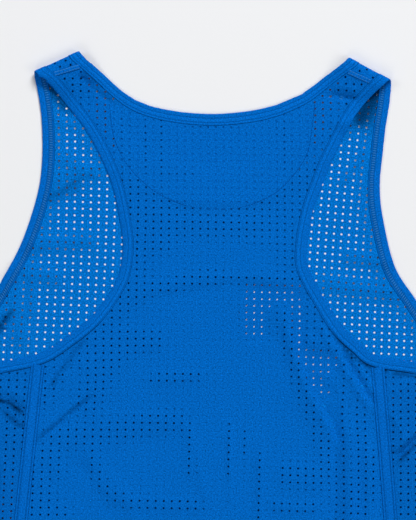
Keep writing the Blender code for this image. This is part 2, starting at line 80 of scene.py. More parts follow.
armBack = {
    "left": [
        (-148.0, 19.0), (-134.0, 30.5), (-120.0, 47.5), (-103.5, 69.5), (-90.0, 95.0),
        (-81.5, 117.5), (-75.0, 149.0), (-73.5, 169.0), (-78.5, 194.0), (-97.0, 222.0),
        (-120.0, 241.5), (-143.0, 256.0), (-176.0, 263.5), (-214.0, 269.5), (-249.0, 271.5),
    ],
    "right": [
        (157.0, 25.5), (151.0, 28.5), (133.0, 46.5), (122.0, 62.5), (105.5, 95.0),
        (98.0, 114.0), (90.0, 137.5), (85.0, 166.0), (86.5, 185.5), (102.0, 214.0),
        (115.0, 234.0), (130.0, 248.5), (143.5, 258.5), (174.0, 263.6), (211.0, 269.5),
        (249.0, 275.0),
    ],
}
armFront = {
    "left": [
        (-148.0, 19.0), (-143.5, 40.0), (-141.0, 60.5), (-140.5, 91.0), (-144.5, 121.5),
        (-158.0, 162.5), (-176.0, 196.5), (-189.5, 218.5), (-206.5, 240.5), (-225.0, 259.5),
        (-238.5, 267.5), (-249.0, 271.5),
    ],
    "right": [
        (157.0, 25.5), (155.0, 45.0), (151.5, 66.5), (149.0, 87.5), (146.5, 115.0),
        (149.0, 142.0), (159.0, 183.0), (176.0, 210.0), (188.5, 228.5), (205.0, 249.0),
        (223.5, 264.5), (237.5, 271.5), (249.0, 275.0),
    ],
}
halfMoon = [
    (-83.5, 45.0), (-81.0, 67.0), (-75.5, 84.0), (-65.5, 100.5), (-47.5, 117.5), (-31.5, 126.5),
    (-14.5, 132.5), (7.0, 134.5), (28.0, 133.0), (47.0, 126.5), (61.0, 118.0), (75.0, 103.0),
    (85.0, 86.0), (89.0, 63.0), (91.0, 45.0),
]

# Soft ridges and troughs of the cloth: half width, height, then the points of a line
lowerRises = [
    (4.2, 0.9, (-132, 60), (-120, 61), (-106, 63)),
    (5.5, 1.4, (-89, 106), (-103, 101), (-116, 95), (-128, 86)),
    (4.6, 1.7, (-139, 127), (-122, 119), (-104, 110)),
    (5.4, 1.3, (-140, 110), (-124, 107), (-104, 103), (-82, 100)),
    (6.6, 1.7, (-160, 165), (-125, 163), (-90, 160)),
    (6.4, 1.6, (-171, 184), (-147, 189), (-120, 196)),
    (3.8, 1.3, (-148, 188), (-150, 208), (-150, 230)),
    (7.6, 1.8, (-173, 176), (-164, 212), (-157, 259)),
    (3.8, 1.3, (103, 64), (118, 60), (137, 58)),
    (3.4, 1.2, (136, 82), (123, 101), (110, 118)),
    (7.0, 2.0, (148, 28), (138, 44), (124, 58), (112, 74)),
    (5.2, 1.5, (111, 175), (133, 177), (161, 179)),
    (7.6, 1.7, (88, 195), (122, 201), (171, 207)),
    (2.4, 4.6, (-186, 250), (-177, 235), (-168, 219)),
]
upperRises = [
    (2.6, -3.0, (-111, 19), (-98, 29), (-84, 42)),
    (2.8, 1.2, (-106, 27), (-94, 36), (-80, 50)),
    (2.9, -1.2, (-91, 35), (-76, 52), (-57, 76)),
    (2.5, -2.3, (97, 38), (115, 40), (131, 43)),
    (3.4, 1.1, (105, 31), (116, 31), (127, 35)),
    (4.6, 0.4, (-57, 205), (-6, 196), (37, 190), (75, 192)),
    (4.6, -0.3, (-60, 215), (-36, 209), (-6, 203), (37, 197), (76, 201)),
    (4.0, 1.9, (64, 217), (71, 250), (82, 280), (96, 309), (115, 348)),
    (2.7, -1.2, (77, 251), (90, 284), (102, 309), (116, 342)),
    (3.4, 1.7, (91, 225), (107, 254), (123, 281), (144, 314)),
    (2.4, -1.2, (103, 235), (117, 261), (132, 286), (144, 305)),
    (2.8, 1.5, (116, 251), (130, 271), (144, 297)),
    (4.0, -1.4, (108, 290), (109, 331), (109, 399), (110, 484)),
    (3.6, 3.2, (120, 300), (121, 348), (121, 399), (122, 475)),
    (6.0, 0.8, (115, 300), (116, 348), (116, 399), (117, 475)),
    (4.4, 2.8, (135, 318), (137, 350), (138, 399), (139, 475)),
    (3.2, 0.8, (19, 317), (20, 356), (19, 394)),
    (3.0, 1.0, (45, 322), (46, 373), (48, 458)),
    (3.2, 0.8, (-14, 312), (-9, 348), (0, 388)),
    (2.2, -1.2, (-149, 335), (-127, 317), (-110, 303), (-93, 292)),
    (2.7, 0.8, (-144, 327), (-124, 309), (-101, 293)),
    (1.9, -1.5, (-140, 290), (-127, 269), (-116, 258), (-101, 243)),
    (5.1, 0.8, (-113, 334), (-91, 354), (-70, 380), (-57, 416)),
    (5.1, -0.4, (-120, 346), (-98, 366), (-81, 400)),
    (5.1, 0.5, (-105, 312), (-65, 310), (-26, 314)),
    (5.1, -0.4, (-112, 331), (-72, 329), (-35, 331)),
    (7.0, 0.45, (-45, 147), (3, 151), (54, 147)),
    (1.8, -1.7, (-190, 290), (-169, 297), (-151, 308)),
    (3.2, 0.8, (-184, 285), (-167, 289), (-154, 298)),
    (1.8, -0.9, (-176, 304), (-166, 312), (-153, 325)),
    (2.6, -3.2, (161, 348), (169, 338), (186, 324)),
    (3.2, 2.0, (156, 342), (167, 331), (183, 318)),
    (3.6, 1.2, (150, 300), (164, 322), (172, 352)),
    (4.2, 1.3, (-176, 340), (-170, 372), (-176, 412)),
    (1.9, -1.0, (152, 284), (162, 279), (176, 275)),
    (2.2, 0.8, (152, 292), (164, 286), (178, 283)),
]

# Over the body the two cloths touch, so a hole shows the cloth under it. Where they part it is dark
parted = [
    (8.5, 1.4, (-68, 108), (-65, 148), (-64, 188)),
    (11.9, 0.75, (-48, 123), (-40, 150), (-40, 179)),
    (9.3, 1.4, (-63, 176), (-77, 210), (-103, 244)),
    (6.8, 1.3, (-93, 237), (-106, 249), (-118, 263)),
    (6.4, 1.4, (-88, 225), (-61, 207), (-33, 197)),
    (6.2, 1.4, (-42, 203), (-14, 195), (21, 192)),
    (4.6, 1.3, (13, 193), (47, 195), (79, 197)),
    (8.5, 1.4, (-101, 251), (-67, 247), (-31, 246)),
    (5.5, 1.3, (-111, 269), (-93, 264), (-74, 263)),
    (4.7, 1.3, (-55, 280), (-30, 277), (1, 275)),
    (9.0, 1.4, (-148, 335), (-110, 327), (-75, 323), (-45, 316), (-8, 313)),
    (9.0, 1.4, (-151, 335), (-150, 380), (-152, 440)),
    (16.0, 1.4, (-160, 262), (-166, 330), (-178, 445)),
    (16.0, 1.4, (163, 265), (168, 330), (174, 445)),
    (6.0, 1.2, (-141, 305), (-133, 285), (-122, 268)),
    (3.6, 1.3, (-20, 310), (-16, 335), (-14, 366)),
    (4.2, 1.2, (-95, 326), (-97, 344), (-94, 368)),
    (11.0, 1.2, (-62, 232), (-84, 262), (-98, 290), (-108, 316)),
    (11.0, 1.3, (-152, 363), (-139, 386), (-123, 433)),
    (8.0, 1.0, (-128, 384), (-118, 412), (-112, 440)),
    (6.8, 1.2, (-142, 335), (-132, 349), (-125, 365)),
    (4.7, 1.3, (-98, 360), (-88, 371), (-77, 382)),
    (5.1, 1.3, (-91, 379), (-48, 384), (4, 387)),
    (5.1, 1.4, (62, 215), (68, 246), (76, 276)),
    (4.7, 1.4, (72, 268), (82, 295), (94, 322)),
    (6.0, 1.4, (89, 315), (101, 341), (113, 373)),
    (8.5, 1.4, (108, 356), (115, 390), (120, 467)),
    (3.0, 1.2, (115, 262), (116, 330), (116, 400), (116, 450)),
    (2.6, 1.1, (126, 280), (127, 340), (127, 460)),
    (2.4, 1.0, (133, 296), (133, 350), (133, 408)),
    (2.4, 0.9, (139, 334), (139, 360), (139, 386)),
    (9.5, 1.4, (57, 360), (79, 361), (103, 364)),
    (2.6, 0.6, (31, 316), (31, 334), (31, 350)),
    (2.7, 1.3, (43, 334), (43, 368), (44, 433)),
    (2.7, 0.8, (18, 310), (18, 337), (18, 366)),
    (3.8, 1.2, (48, 386), (75, 388), (101, 387)),
    (4.7, 1.2, (79, 242), (93, 248), (108, 254)),
    (3.8, 0.5, (-40, 127), (11, 128), (77, 125)),
    (3.4, 0.4, (-40, 143), (11, 146), (71, 150)),
    (5.1, 0.3, (21, 157), (45, 162), (72, 167)),
]
# Where both cloths lie flat on the floor and their holes meet, pale dots show
matched = [
    (6.2, 1.3, (28, 208), (58, 208), (90, 211)),
    (11.0, 1.3, (52, 198), (46, 212), (42, 228), (45, 252)),
    (4.2, 1.3, (76, 203), (78, 233), (80, 268)),
    (8.0, 1.3, (77, 262), (93, 265), (116, 269)),
    (6.0, 0.9, (86, 275), (96, 285), (105, 298)),
]
# Where the facing hangs off the back
facingParted = [
    (2.9, 0.75, (-53, 48), (-53, 80), (-54, 115)),
    (2.9, 0.8, (-39, 48), (-39, 84), (-38, 127)),
    (5.1, 0.6, (-71, 48), (-71, 84), (-69, 118)),
    (3.4, 0.75, (-26, 59), (3, 62), (33, 59)),
    (4.5, 0.5, (-38, 103), (-20, 104), (-6, 103)),
    (5.1, 0.6, (60, 52), (66, 80), (64, 108)),
]


# Lines in plan

fineStep, edgeStep = 0.5, 3.0


def plan(points):  # given across and down, as plan x and y
    return np.array(points, float) * (1, -1)


def unit(vectors):
    return vectors / np.linalg.norm(vectors, axis=1)[:, None]


def smoothLine(points, step=fineStep):
    # Catmull-Rom: from b to c a cubic that leaves along c - a and arrives along d - b
    ends = np.vstack([2 * points[0] - points[1], points, 2 * points[-1] - points[-2]])
    runs = []
    for a, b, c, d in zip(ends, ends[1:], ends[2:], ends[3:]):
        t = np.linspace(0, 1, max(2, int(np.linalg.norm(c - b) / step)), endpoint=False)[:, None]
        bend, turn = 2 * a - 5 * b + 4 * c - d, 3 * b - a - 3 * c + d
        runs.append(b + t * (c - a) / 2 + t**2 * bend / 2 + t**3 * turn / 2)
    return np.vstack(runs + [points[-1:]])


def leftOf(line):
    # unit vectors a quarter turn to the left of the line's own direction
    way = unit(np.gradient(line, axis=0))
    return np.stack([-way[:, 1], way[:, 0]], axis=1)


def sideways(line, distance):
    return line + distance * leftOf(line)


def carriedOn(line, reach=16.0):
    # the line and a straight stretch past each end
    ends = []
    for end, before in ((line[0], line[1]), (line[-1], line[-2])):
        way = (end - before) / np.linalg.norm(end - before)
        ends.append(end + np.arange(fineStep, reach, fineStep)[:, None] * way)
    return np.vstack([ends[0][::-1], line, ends[1]])


def lengths(line):
    # the length along the line at each of its points
    return np.concatenate([[0], np.cumsum(np.linalg.norm(np.diff(line, axis=0), axis=1))])


def taken(line, far, at):
    # the line's points at given lengths, in as many dimensions as it has
    return np.stack([np.interp(at, far, line[:, k]) for k in range(line.shape[1])], axis=1)


def evenly(line, step=2.5):
    # points at equal lengths along the line, both ends included
    far = lengths(line)
    return taken(line, far, np.linspace(0, far[-1], max(1, round(far[-1] / step)) + 1))


def straight(start, end, step=edgeStep):
    return evenly(np.array([start, end]), step)


def inSlices(points, work, size=4000):
    # a large array is worked through in slices
    return np.concatenate([work(points[k: k + size]) for k in range(0, max(1, len(points)), size)])


def insideLine(points, outline):
    # odd count of the closed outline's crossings to the right of a point
    a, b = outline, np.roll(outline, -1, axis=0)
    rise = np.where(b[:, 1] == a[:, 1], 1.0, b[:, 1] - a[:, 1])

    def work(some):
        x, y = some[:, :1], some[:, 1:]
        crosses = (a[:, 1] > y) != (b[:, 1] > y)
        return (crosses & (x < a[:, 0] + (y - a[:, 1]) / rise * (b[:, 0] - a[:, 0]))).sum(axis=1) % 2 == 1
    return inSlices(points, work)


def squared(points, line):
    # squared distance from every point to every point of the line
    return (points[:, None, 0] - line[None, :, 0]) ** 2 + (points[:, None, 1] - line[None, :, 1]) ** 2


def fromLine(points, line):
    # distance to the nearest of a line's points
    return inSlices(points, lambda some: np.sqrt(squared(some, line).min(axis=1)))


def nearestOf(points, line):
    return inSlices(points, lambda some: squared(some, line).argmin(axis=1))


def nearestAt(line, goal):
    # which of the line's points comes closest to any of the goal's
    return int(np.argmin(fromLine(line, goal)))


def smooth01(t):
    # smoothstep: 3 t^2 - 2 t^3, held at 0 and 1 outside
    t = np.clip(t, 0, 1)
    return t * t * (3 - 2 * t)


def ramp(distance, reach):
    # 1 at no distance, falling as a smoothstep to 0 at the reach
    return 1 - smooth01(distance / reach)


# Folds: past its start line, cloth goes round a half turn and back over the layer below

class Fold:
    def __init__(self, a, b, out, gap):
        self.a, self.b = plan([a, b])
        self.along = (self.b - self.a) / np.linalg.norm(self.b - self.a)
        self.normal = np.array([-self.along[1], self.along[0]])
        if self.normal @ np.array(out, float) < 0:
            self.normal = -self.normal
        self.radius = gap / 2
        self.arc = np.pi * self.radius
        self.start = self.a - self.normal * self.radius

    def past(self, points):
        return (points - self.start) @ self.normal

    def folded(self, points):
        # plan place and share of the way up: angle = past / radius up to a half turn
        past = np.maximum(self.past(points), 0)
        angle = np.minimum(past / self.radius, np.pi)
        shift = self.radius * np.sin(angle) - np.maximum(past - self.arc, 0) - past
        return points + shift[:, None] * self.normal, (1 - np.cos(angle)) / 2

    def unfolded(self, points):
        return points + (self.arc - 2 * self.past(points))[:, None] * self.normal

    def near(self, points):
        # distance to the fold's own stretch, less its radius
        way = self.b - self.a
        share = np.clip((points - self.a) @ way / (way @ way), 0, 1)
        return np.maximum(np.linalg.norm(points - self.a - share[:, None] * way, axis=1) - self.radius, 0)


folds = {name: Fold(**row) for name, row in foldRows.items()}


# Heights of the two layers, worked out once on a fine net over the plan

net = {"low": np.array((-300.0, -722.0)), "high": np.array((286.0, 16.0)), "step": 1.5}
riseForm = {"step": 1.5, "reach": 2.6, "fade": 0.2}


def overNet(work):
    columns, rows = (np.arange(net["low"][k], net["high"][k], net["step"]) for k in range(2))
    points = np.stack(np.meshgrid(columns, rows, indexing="ij"), axis=2)
    return work(points.reshape(-1, 2)).reshape(*points.shape[:2], -1)


def sampled(values, points):
    # Catmull-Rom weights of the 4 by 4 nearest net values
    at = (points - net["low"]) / net["step"]
    cell = np.clip(np.floor(at).astype(int), 1, np.array(values.shape) - 3)
    t = np.clip(at - cell, 0, 1)
    weights = np.stack([
        (-t + 2 * t**2 - t**3) / 2, (2 - 5 * t**2 + 3 * t**3) / 2,
        (t + 4 * t**2 - 3 * t**3) / 2, (t**3 - t**2) / 2,
    ])
    total = np.zeros(len(points))
    for i in range(4):
        for j in range(4):
            total += weights[i, :, 0] * weights[j, :, 1] * values[cell[:, 0] + i - 1, cell[:, 1] + j - 1]
    return total


def rises(points, rows):
    # high * exp(-(distance to the line / wide)^2), fading out over the line's two ends, summed
    total = np.zeros(len(points))
    for wide, high, *line in rows:
        line, reach = evenly(smoothLine(plan(line), 1.0), riseForm["step"]), riseForm["reach"] * wide
        near = ((points > line.min(axis=0) - reach) & (points < line.max(axis=0) + reach)).all(axis=1)
        near = np.flatnonzero(near)
        nearest = nearestOf(points[near], line)
        away = np.linalg.norm(points[near] - line[nearest], axis=1) / wide
        share = nearest / (len(line) - 1)
        fade = smooth01(np.minimum(share, 1 - share) / riseForm["fade"])
        total[near] += high * fade * np.exp(-(away**2))
    return total


def nearFolds(points, kind, reach):
    return np.maximum(*(ramp(folds[kind + side].near(points), reach) for side in ("Left", "Right")))


def edgePoints(rows):
    return np.vstack([evenly(smoothLine(plan(row))) for row in rows])


frontEdges = edgePoints([neckFront, *armFront.values()])
armEdges = edgePoints([*armBack.values(), *armFront.values()])
backArms = edgePoints(armBack.values())
neckEdge, hemEdge = smoothLine(plan(neckFront), 2.5), evenly(plan(hem))
# Each armhole's opening: the back's edge of it, closed far out to the side
farOut = {"across": 320, "low": 271, "high": 10}
windows = {
    side: np.vstack([
        smoothLine(plan(armBack[side]), edgeStep),
        plan([(sign * farOut["across"], farOut["low"]), (sign * farOut["across"], farOut["high"])])])
    for side, sign in (("left", -1), ("right", 1))
}
seamRidges = [
    (1.9, 0.5, (-82, 5), (-119, 17), (-158, 28)),
    (1.9, 0.5, (95, 7), (130, 23), (164, 38)),
]


def levels(points):
    # the lower cloth's middle rests, or is raised by the binding under its edge, by the hem and by its
    # rises. The upper one lies a gap above, and over the body the lower one rises to touch it. Inside
    # the front neckline there is no lower cloth, and the upper one sinks towards the floor
    kinds = ("side", "shoulder")
    side, shoulder = (nearFolds(points, kind, layers[kind + "Reach"]) for kind in kinds)
    firmSide, firmShoulder = (nearFolds(points, kind, layers[kind + "Firm"]) for kind in kinds)
    still, loose = (1 - side) * (1 - shoulder), (1 - firmSide) * (1 - firmShoulder)
    edge = np.maximum(fromLine(points, frontEdges) - strips["arm"] - strips["lip"], 0)
    hemmed = ramp(fromLine(points, hemEdge), layers["hemReach"])
    lower = layers["rest"] + layers["edgeRise"] * ramp(edge, layers["edgeSlope"])
    lower += layers["hemRise"] * hemmed + rises(points, lowerRises) * still
    body = (1 - ramp(-points[:, 1] - layers["bodyTop"], layers["bodyReach"])) * (
        1 - ramp(fromLine(points, armEdges) - strips["arm"] - layers["bodyClear"], layers["bodyReach"]))
    body[insideLine(points, windows["left"]) | insideLine(points, windows["right"])] = 0
    apart, pressed = (np.clip(rises(points, rows), 0, 1) for rows in (parted, matched))
    flat = layers["yoke"] + (layers["body"] - layers["yoke"]) * body
    wide = (layers["side"] - flat) * side + (layers["shoulder"] - flat) * shoulder
    gap = flat + wide + layers["partedRise"] * apart * still + rises(points, upperRises) * loose
    gap = np.maximum(gap, layers["touch"]) * (1 - pressed) + layers["touch"] * pressed
    lift = body * still * (1 - apart) * (1 - pressed) * (1 - hemmed) * (gap - layers["touch"])
    # the back's armhole bindings lie down on the front
    gap -= (gap - layers["armRest"]) * ramp(fromLine(points, backArms), layers["armReach"]) * still
    hangs = 1 - ramp(fromLine(points, neckEdge) - layers["neckSlack"], layers["neckReach"])
    low = insideLine(points, neckEdge) * hangs
    gap += (layers["neckHang"] - lower - gap) * low + rises(points, seamRidges)
    return np.stack([lower + lift, gap - lift], axis=1)


lowerNet, gapNet = np.moveaxis(overNet(levels), -1, 0).copy()

# The straps' corners are soft: each is drawn in, less and less away from it
tips = {"reach": 4.5, "by": 0.3, "at": [
    ((-109.5, 0.0), (-0.3, 1.0)), ((-148.0, 19.0), (0.9, 0.3)),
    ((120.5, 5.0), (0.4, 1.0)), ((157.0, 25.5), (-0.9, 0.5)),
]}


def softened(points):
    made = points.copy()
    for tip, way in tips["at"]:
        away = np.linalg.norm(points - plan([tip]), axis=1)
        made += tips["by"] * ramp(away, tips["reach"])[:, None] * plan([way]) / np.linalg.norm(way)
    return made


def laidFront(points):
    places, lift = points.copy(), np.zeros(len(points))
    for fold in folds.values():
        beyond = fold.past(points) > 0
        places[beyond], lift[beyond] = fold.folded(points[beyond])
    return np.column_stack([softened(places), sampled(lowerNet, places) + lift * sampled(gapNet, places)])


def laidBack(points):
    return np.column_stack([softened(points), sampled(lowerNet, points) + sampled(gapNet, points)])


def outOf(points, lay, step=0.3):
    # unit normal: cross product of the lay's differences across and up the plan
    across, up = (lay(points + way) - lay(points - way) for way in ((step, 0), (0, step)))
    return unit(np.cross(across, up))


print("lay worked out")


# Bound edges: stations, each with a point on the panel's edge and one on the binding's inner line

class Rungs:
    def __init__(self, edge, inner):
        self.edge, self.inner = np.atleast_2d(edge), np.atleast_2d(inner)

    def __add__(self, other):
        return Rungs(np.vstack([self.edge, other.edge]), np.vstack([self.inner, other.inner]))

    def changed(self, change):
        return Rungs(change(self.edge), change(self.inner))

    def part(self, first, last):
        return self.changed(lambda line: line[first:last])

    def reversed(self):
        return self.changed(lambda line: line[::-1])


stations = {"step": 2.6, "aroundFold": 12, "pastFold": 22.0, "aroundHem": 7, "least": 0.05, "strapEnd": 12}


class Edge:
    # an outline's panel edge and inner line, both moved sideways from the silhouette
    def __init__(self, outline, width, side):
        line = carriedOn(smoothLine(plan(outline)))
        self.edge, self.inner = sideways(line, side * strips["lip"]), sideways(line, side * width)

    def crossing(self, line):
        return nearestAt(self.edge, line), nearestAt(self.inner, line)

    def between(self, start, end):
        count = max(1, round(abs(end[0] - start[0]) * fineStep / stations["step"])) + 1
        picks = [np.rint(np.linspace(start[k], end[k], count)).astype(int) for k in range(2)]
        return Rungs(self.edge[picks[0]], self.inner[picks[1]])


def startLine(fold):
    # where a fold starts, carried on past both its ends
    middle = (fold.a + fold.b) / 2 - fold.normal * fold.radius
    reach = np.linalg.norm(fold.b - fold.a) / 2 + stations["pastFold"]
    return straight(middle - reach * fold.along, middle + reach * fold.along, fineStep)


def aroundFold(low, high):
    share = np.linspace(0, 1, stations["aroundFold"] + 1)[:, None]
    return Rungs(low.edge + share * (high.edge - low.edge), low.inner + share * (high.inner - low.inner))


def boundEdge(upper, lower, width, side, foldA, foldB, seamA, seamB):
    # the back's stations between its seams, the front's from seam B round both folds to seam A
    up, low = Edge(upper, width, side), Edge(lower, width, side)
    startA, startB = startLine(foldA), startLine(foldB)
    marks = [up.crossing(line) for line in (startA, seamA, seamB, startB)]
    first, back, last = (up.between(*pair) for pair in zip(marks, marks[1:]))
    under = low.between(low.crossing(startB), low.crossing(startA))
    first, last = first.changed(foldA.unfolded), last.changed(foldB.unfolded)
    turnA = aroundFold(under.part(-1, None), first.part(0, 1))
    turnB = aroundFold(under.part(0, 1), last.part(-1, None))
    front = last.part(0, -1) + turnB.reversed() + under.part(1, -1) + turnA + first.part(1, None)
    return {"back": back, "front": front, "width": width}


seamLines = {side: evenly(plan(row), fineStep) for side, row in shoulderSeams.items()}
sideLines = {side: smoothLine(plan(row)) for side, row in sideSeams.items()}
sideFolds = {"left": folds["sideLeft"], "right": folds["sideRight"]}
topFolds = {"left": folds["shoulderLeft"], "right": folds["shoulderRight"]}
neck = boundEdge(
    neckBack, neckFront, strips["neck"], -1, topFolds["left"], topFolds["right"],
    seamLines["left"], seamLines["right"],
)
arms = {
    side: boundEdge(
        armBack[side], armFront[side], strips["arm"], turn, topFolds[side], sideFolds[side],
        seamLines[side], sideLines[side],
    )
    for side, turn in (("left", 1), ("right", -1))
}
hemLine = evenly(plan(hem), fineStep)


def belowArm(side):
    # a side seam from the armhole's edge down to the hem
    seam = sideLines[side]
    first = nearestAt(seam, arms[side]["back"].edge[-1:])
    return evenly(seam[first: nearestAt(seam, hemLine) + 1], edgeStep)


seamPoints = {side: belowArm(side) for side in sides}


def hemStart(side):
    # where the hem meets the start of a side's fold
    return hemLine[np.argmin(np.abs(sideFolds[side].past(hemLine)))]


def joinedLine(runs):
    # a closed line of several runs, without the points that repeat where they join
    points = np.vstack(runs)
    return points[np.linalg.norm(points - np.roll(points, 1, axis=0), axis=1) > stations["least"]]


def backOutline():
    left, right, top = (bound["back"].edge for bound in (arms["left"], arms["right"], neck))
    return joinedLine([
        top, straight(top[-1], right[0]), right, seamPoints["right"],
        straight(seamPoints["right"][-1], seamPoints["left"][-1]), seamPoints["left"][::-1],
        left[::-1], straight(left[0], top[0]),
    ])


def frontOutline():
    left, right, top = (bound["front"].edge for bound in (arms["left"], arms["right"], neck))
    ends, flaps = {}, {}
    for side in sides:
        fold, start = sideFolds[side], hemStart(side)
        flap = fold.unfolded(straight(seamPoints[side][-1], start))
        around = np.linspace(fold.arc, 0, stations["aroundHem"])[:, None] * fold.normal
        ends[side] = np.vstack([flap, start + around])
        flaps[side] = fold.unfolded(seamPoints[side])
    return joinedLine([
        left, straight(left[-1], top[-1]), top[::-1], straight(top[0], right[-1]), right[::-1],
        flaps["right"], ends["right"], straight(ends["right"][-1], ends["left"][-1]),
        ends["left"][::-1], flaps["left"][::-1],
    ])


outlines = {"back": backOutline(), "front": frontOutline()}
print("outlines worked out")


# Finishes

class Socket:
    # a shader output; + and * with it, on either side, add Math nodes
    def __init__(self, tree, value):
        self.tree, self.value = tree, value

    def math(self, operation, *others):
        node = self.tree.nodes.new("ShaderNodeMath")
        node.operation = operation
        for socket, value in zip(node.inputs, (self, *others)):
            plug(self.tree, socket, value)
        return Socket(self.tree, node.outputs[0])

    def __add__(self, other):
        return self.math("ADD", other)

    def __mul__(self, other):
        return self.math("MULTIPLY", other)

    __radd__, __rmul__ = __add__, __mul__


def plug(tree, socket, value):
    # an output is linked, a plain value is set
    if isinstance(value, Socket):
        tree.links.new(value.value, socket)
    else:
        socket.default_value = value


class Finish:
    def __init__(self, name):
        self.material = bpy.data.materials.new(name)
        self.material.use_nodes = True
        self.tree = self.material.node_tree

    def put(self, name, value):
        plug(self.tree, self.tree.nodes["Principled BSDF"].inputs[name], value)

    def node(self, kind, settings=None, sockets=None, output=0):
        made = self.tree.nodes.new("ShaderNode" + kind)
        for key, value in (settings or {}).items():
            setattr(made, key, value)
        for key, value in (sockets or {}).items():
            plug(self.tree, made.inputs[key], value)
        return Socket(self.tree, made.outputs[output])


def linear(levels):
    # display levels up to 255 as linear colour
    share = np.array(levels, float) / 255
    made = np.where(share <= 0.04045, share / 12.92, ((share + 0.055) / 1.055) ** 2.4)
    return (*made.tolist(), 1.0)


def knitFinish(name, look):
    # fine knit: loops in columns and rows as bump, a slow drift of shade, a fleck of single loops, and
    # the piece's painted shade and highlight from its shade attribute, darker down in its grooves
    made = Finish(name)
    cloth = made.node("UVMap", {"uv_map": "cloth"})
    split = made.node("SeparateXYZ", sockets={0: cloth}).value.node
    x, y = (Socket(made.tree, output) for output in split.outputs[:2])
    turns = 2 * np.pi / (look["loop"] * mm)
    loops = (turns * x).math("SINE") * (turns / look["loopLong"] * y).math("SINE")
    drift, fleck = (made.node("TexNoise", {"noise_dimensions": "2D"}, {
        "Vector": cloth, "Scale": look[kind], "Detail": look["detail"]}) for kind in ("drift", "fleck"))
    # painted shade and highlight, stored on each piece as its shade attribute
    own = made.node("Attribute", {"attribute_name": "shade"}, output=2)
    uneven = 2 * look["driftAmount"] * drift + 2 * look["fleckAmount"] * fleck + look["loopShade"] * loops
    shade = (1 - look["driftAmount"] - look["fleckAmount"] + uneven) * own
    colour = {0: linear(look["colour"])[:3], "Scale": shade}
    made.put("Base Color", made.node("VectorMath", {"operation": "SCALE"}, colour))
    made.put("Normal", made.node("Bump", sockets={
        "Strength": look["bump"], "Distance": look["deep"], "Height": loops + look["fleckBump"] * fleck}))
    made.put("Roughness", look["roughness"])
    made.put("Specular IOR Level", 0.0)
    return made.material


clothLook = {
    "colour": (3, 106, 202), "roughness": 0.85, "bump": 0.5, "deep": 0.1 * mm,
    "loop": 0.62, "loopLong": 1.4, "loopShade": 0.05,
    "drift": 16.0, "driftAmount": 0.03, "fleck": 800.0, "fleckAmount": 0.62, "fleckBump": 1.5, "detail": 2.0,
}
stripLook = clothLook | {"loop": 0.5, "bump": 0.3}
threadLook = clothLook | {"fleckAmount": 0.1}
finishes = {
    "outside": knitFinish("knitOutside", clothLook),
    # a lighter copy of the outside knit: painted light, for the brighter cloth seen in the armholes
    "inside": knitFinish("knitInsidePaintedLight", clothLook | {"colour": (3, 117, 212), "fleckAmount": 0.85}),
    "facing": knitFinish("facingKnit", clothLook | {"colour": (3, 102, 196)}),
    "binding": knitFinish("bindingKnit", stripLook | {"colour": (3, 105, 201)}),
    "tape": knitFinish("tapeKnit", stripLook | {"colour": (3, 99, 192)}),
    "thread": knitFinish("blueThread", threadLook | {"colour": (4, 106, 202)}),
    # a darker copy of the blue thread: painted shade for the groove that the half-moon stitching sinks into
    "paintedShadeThread": knitFinish("paintedShadeBlueThread", threadLook | {"colour": (3, 78, 160)}),
    "paleThread": knitFinish("paleBlueThread", threadLook | {"colour": (52, 130, 205)}),
}


# Meshes

def makePiece(name, points, faces, cloth, finish, slot, shade=None, sharp=0.9, under=None):
    # faces is a list of arrays of corners, each with faces of one size; under is a second finish and
    # which faces take it
    points = np.maximum(points, (-np.inf, -np.inf, 0.02))  # nothing lies below the floor
    shade = np.ones(len(points)) if shade is None else shade
    corners = np.concatenate([some.ravel() for some in faces]).astype(np.int32)
    sizes = np.concatenate([np.full(len(some), some.shape[1]) for some in faces])
    mesh = bpy.data.meshes.new(name)
    mesh.vertices.add(len(points))
    mesh.vertices.foreach_set("co", ((points - foot) * mm).astype(np.float32).ravel())
    mesh.loops.add(len(corners))
    mesh.loops.foreach_set("vertex_index", corners)
    mesh.polygons.add(len(sizes))
    mesh.polygons.foreach_set("loop_start", (np.cumsum(sizes) - sizes).astype(np.int32))
    mesh.materials.append(finishes[finish])
    if under is not None:
        mesh.materials.append(finishes[under[0]])
        mesh.polygons.foreach_set("material_index", under[1].astype(np.int32))
    mesh.update(calc_edges=True)
    uv = mesh.uv_layers.new(name="cloth")
    uv.data.foreach_set("uv", (cloth * mm)[corners].astype(np.float32).ravel())
    # painted shade and highlight, which the finish multiplies into its colour
    mesh.attributes.new("shade", "FLOAT", "POINT").data.foreach_set("value", shade.astype(np.float32))
    mesh.shade_smooth()
    mesh.set_sharp_from_angle(angle=sharp)
    made = bpy.data.objects.new(name, mesh)
    bpy.context.scene.collection.objects.link(made)
    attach(made, "root")
    return made


def rimOf(faces, count):
    # edges that only one face uses, in that face's direction
    edges = faces[:, [0, 1, 1, 2, 2, 0]].reshape(-1, 2)
    return edges[~np.isin(edges @ (1, count), edges @ (count, 1))]


# Perforated knit: a cell for each place of a slightly uneven net, with a round hole in its middle

holes = {
    "radius": 0.96, "corners": 8, "turn": -3.5 * np.pi / 4, "met": 0.87, "windowFade": 30.0, "flapFade": 3.0,
}
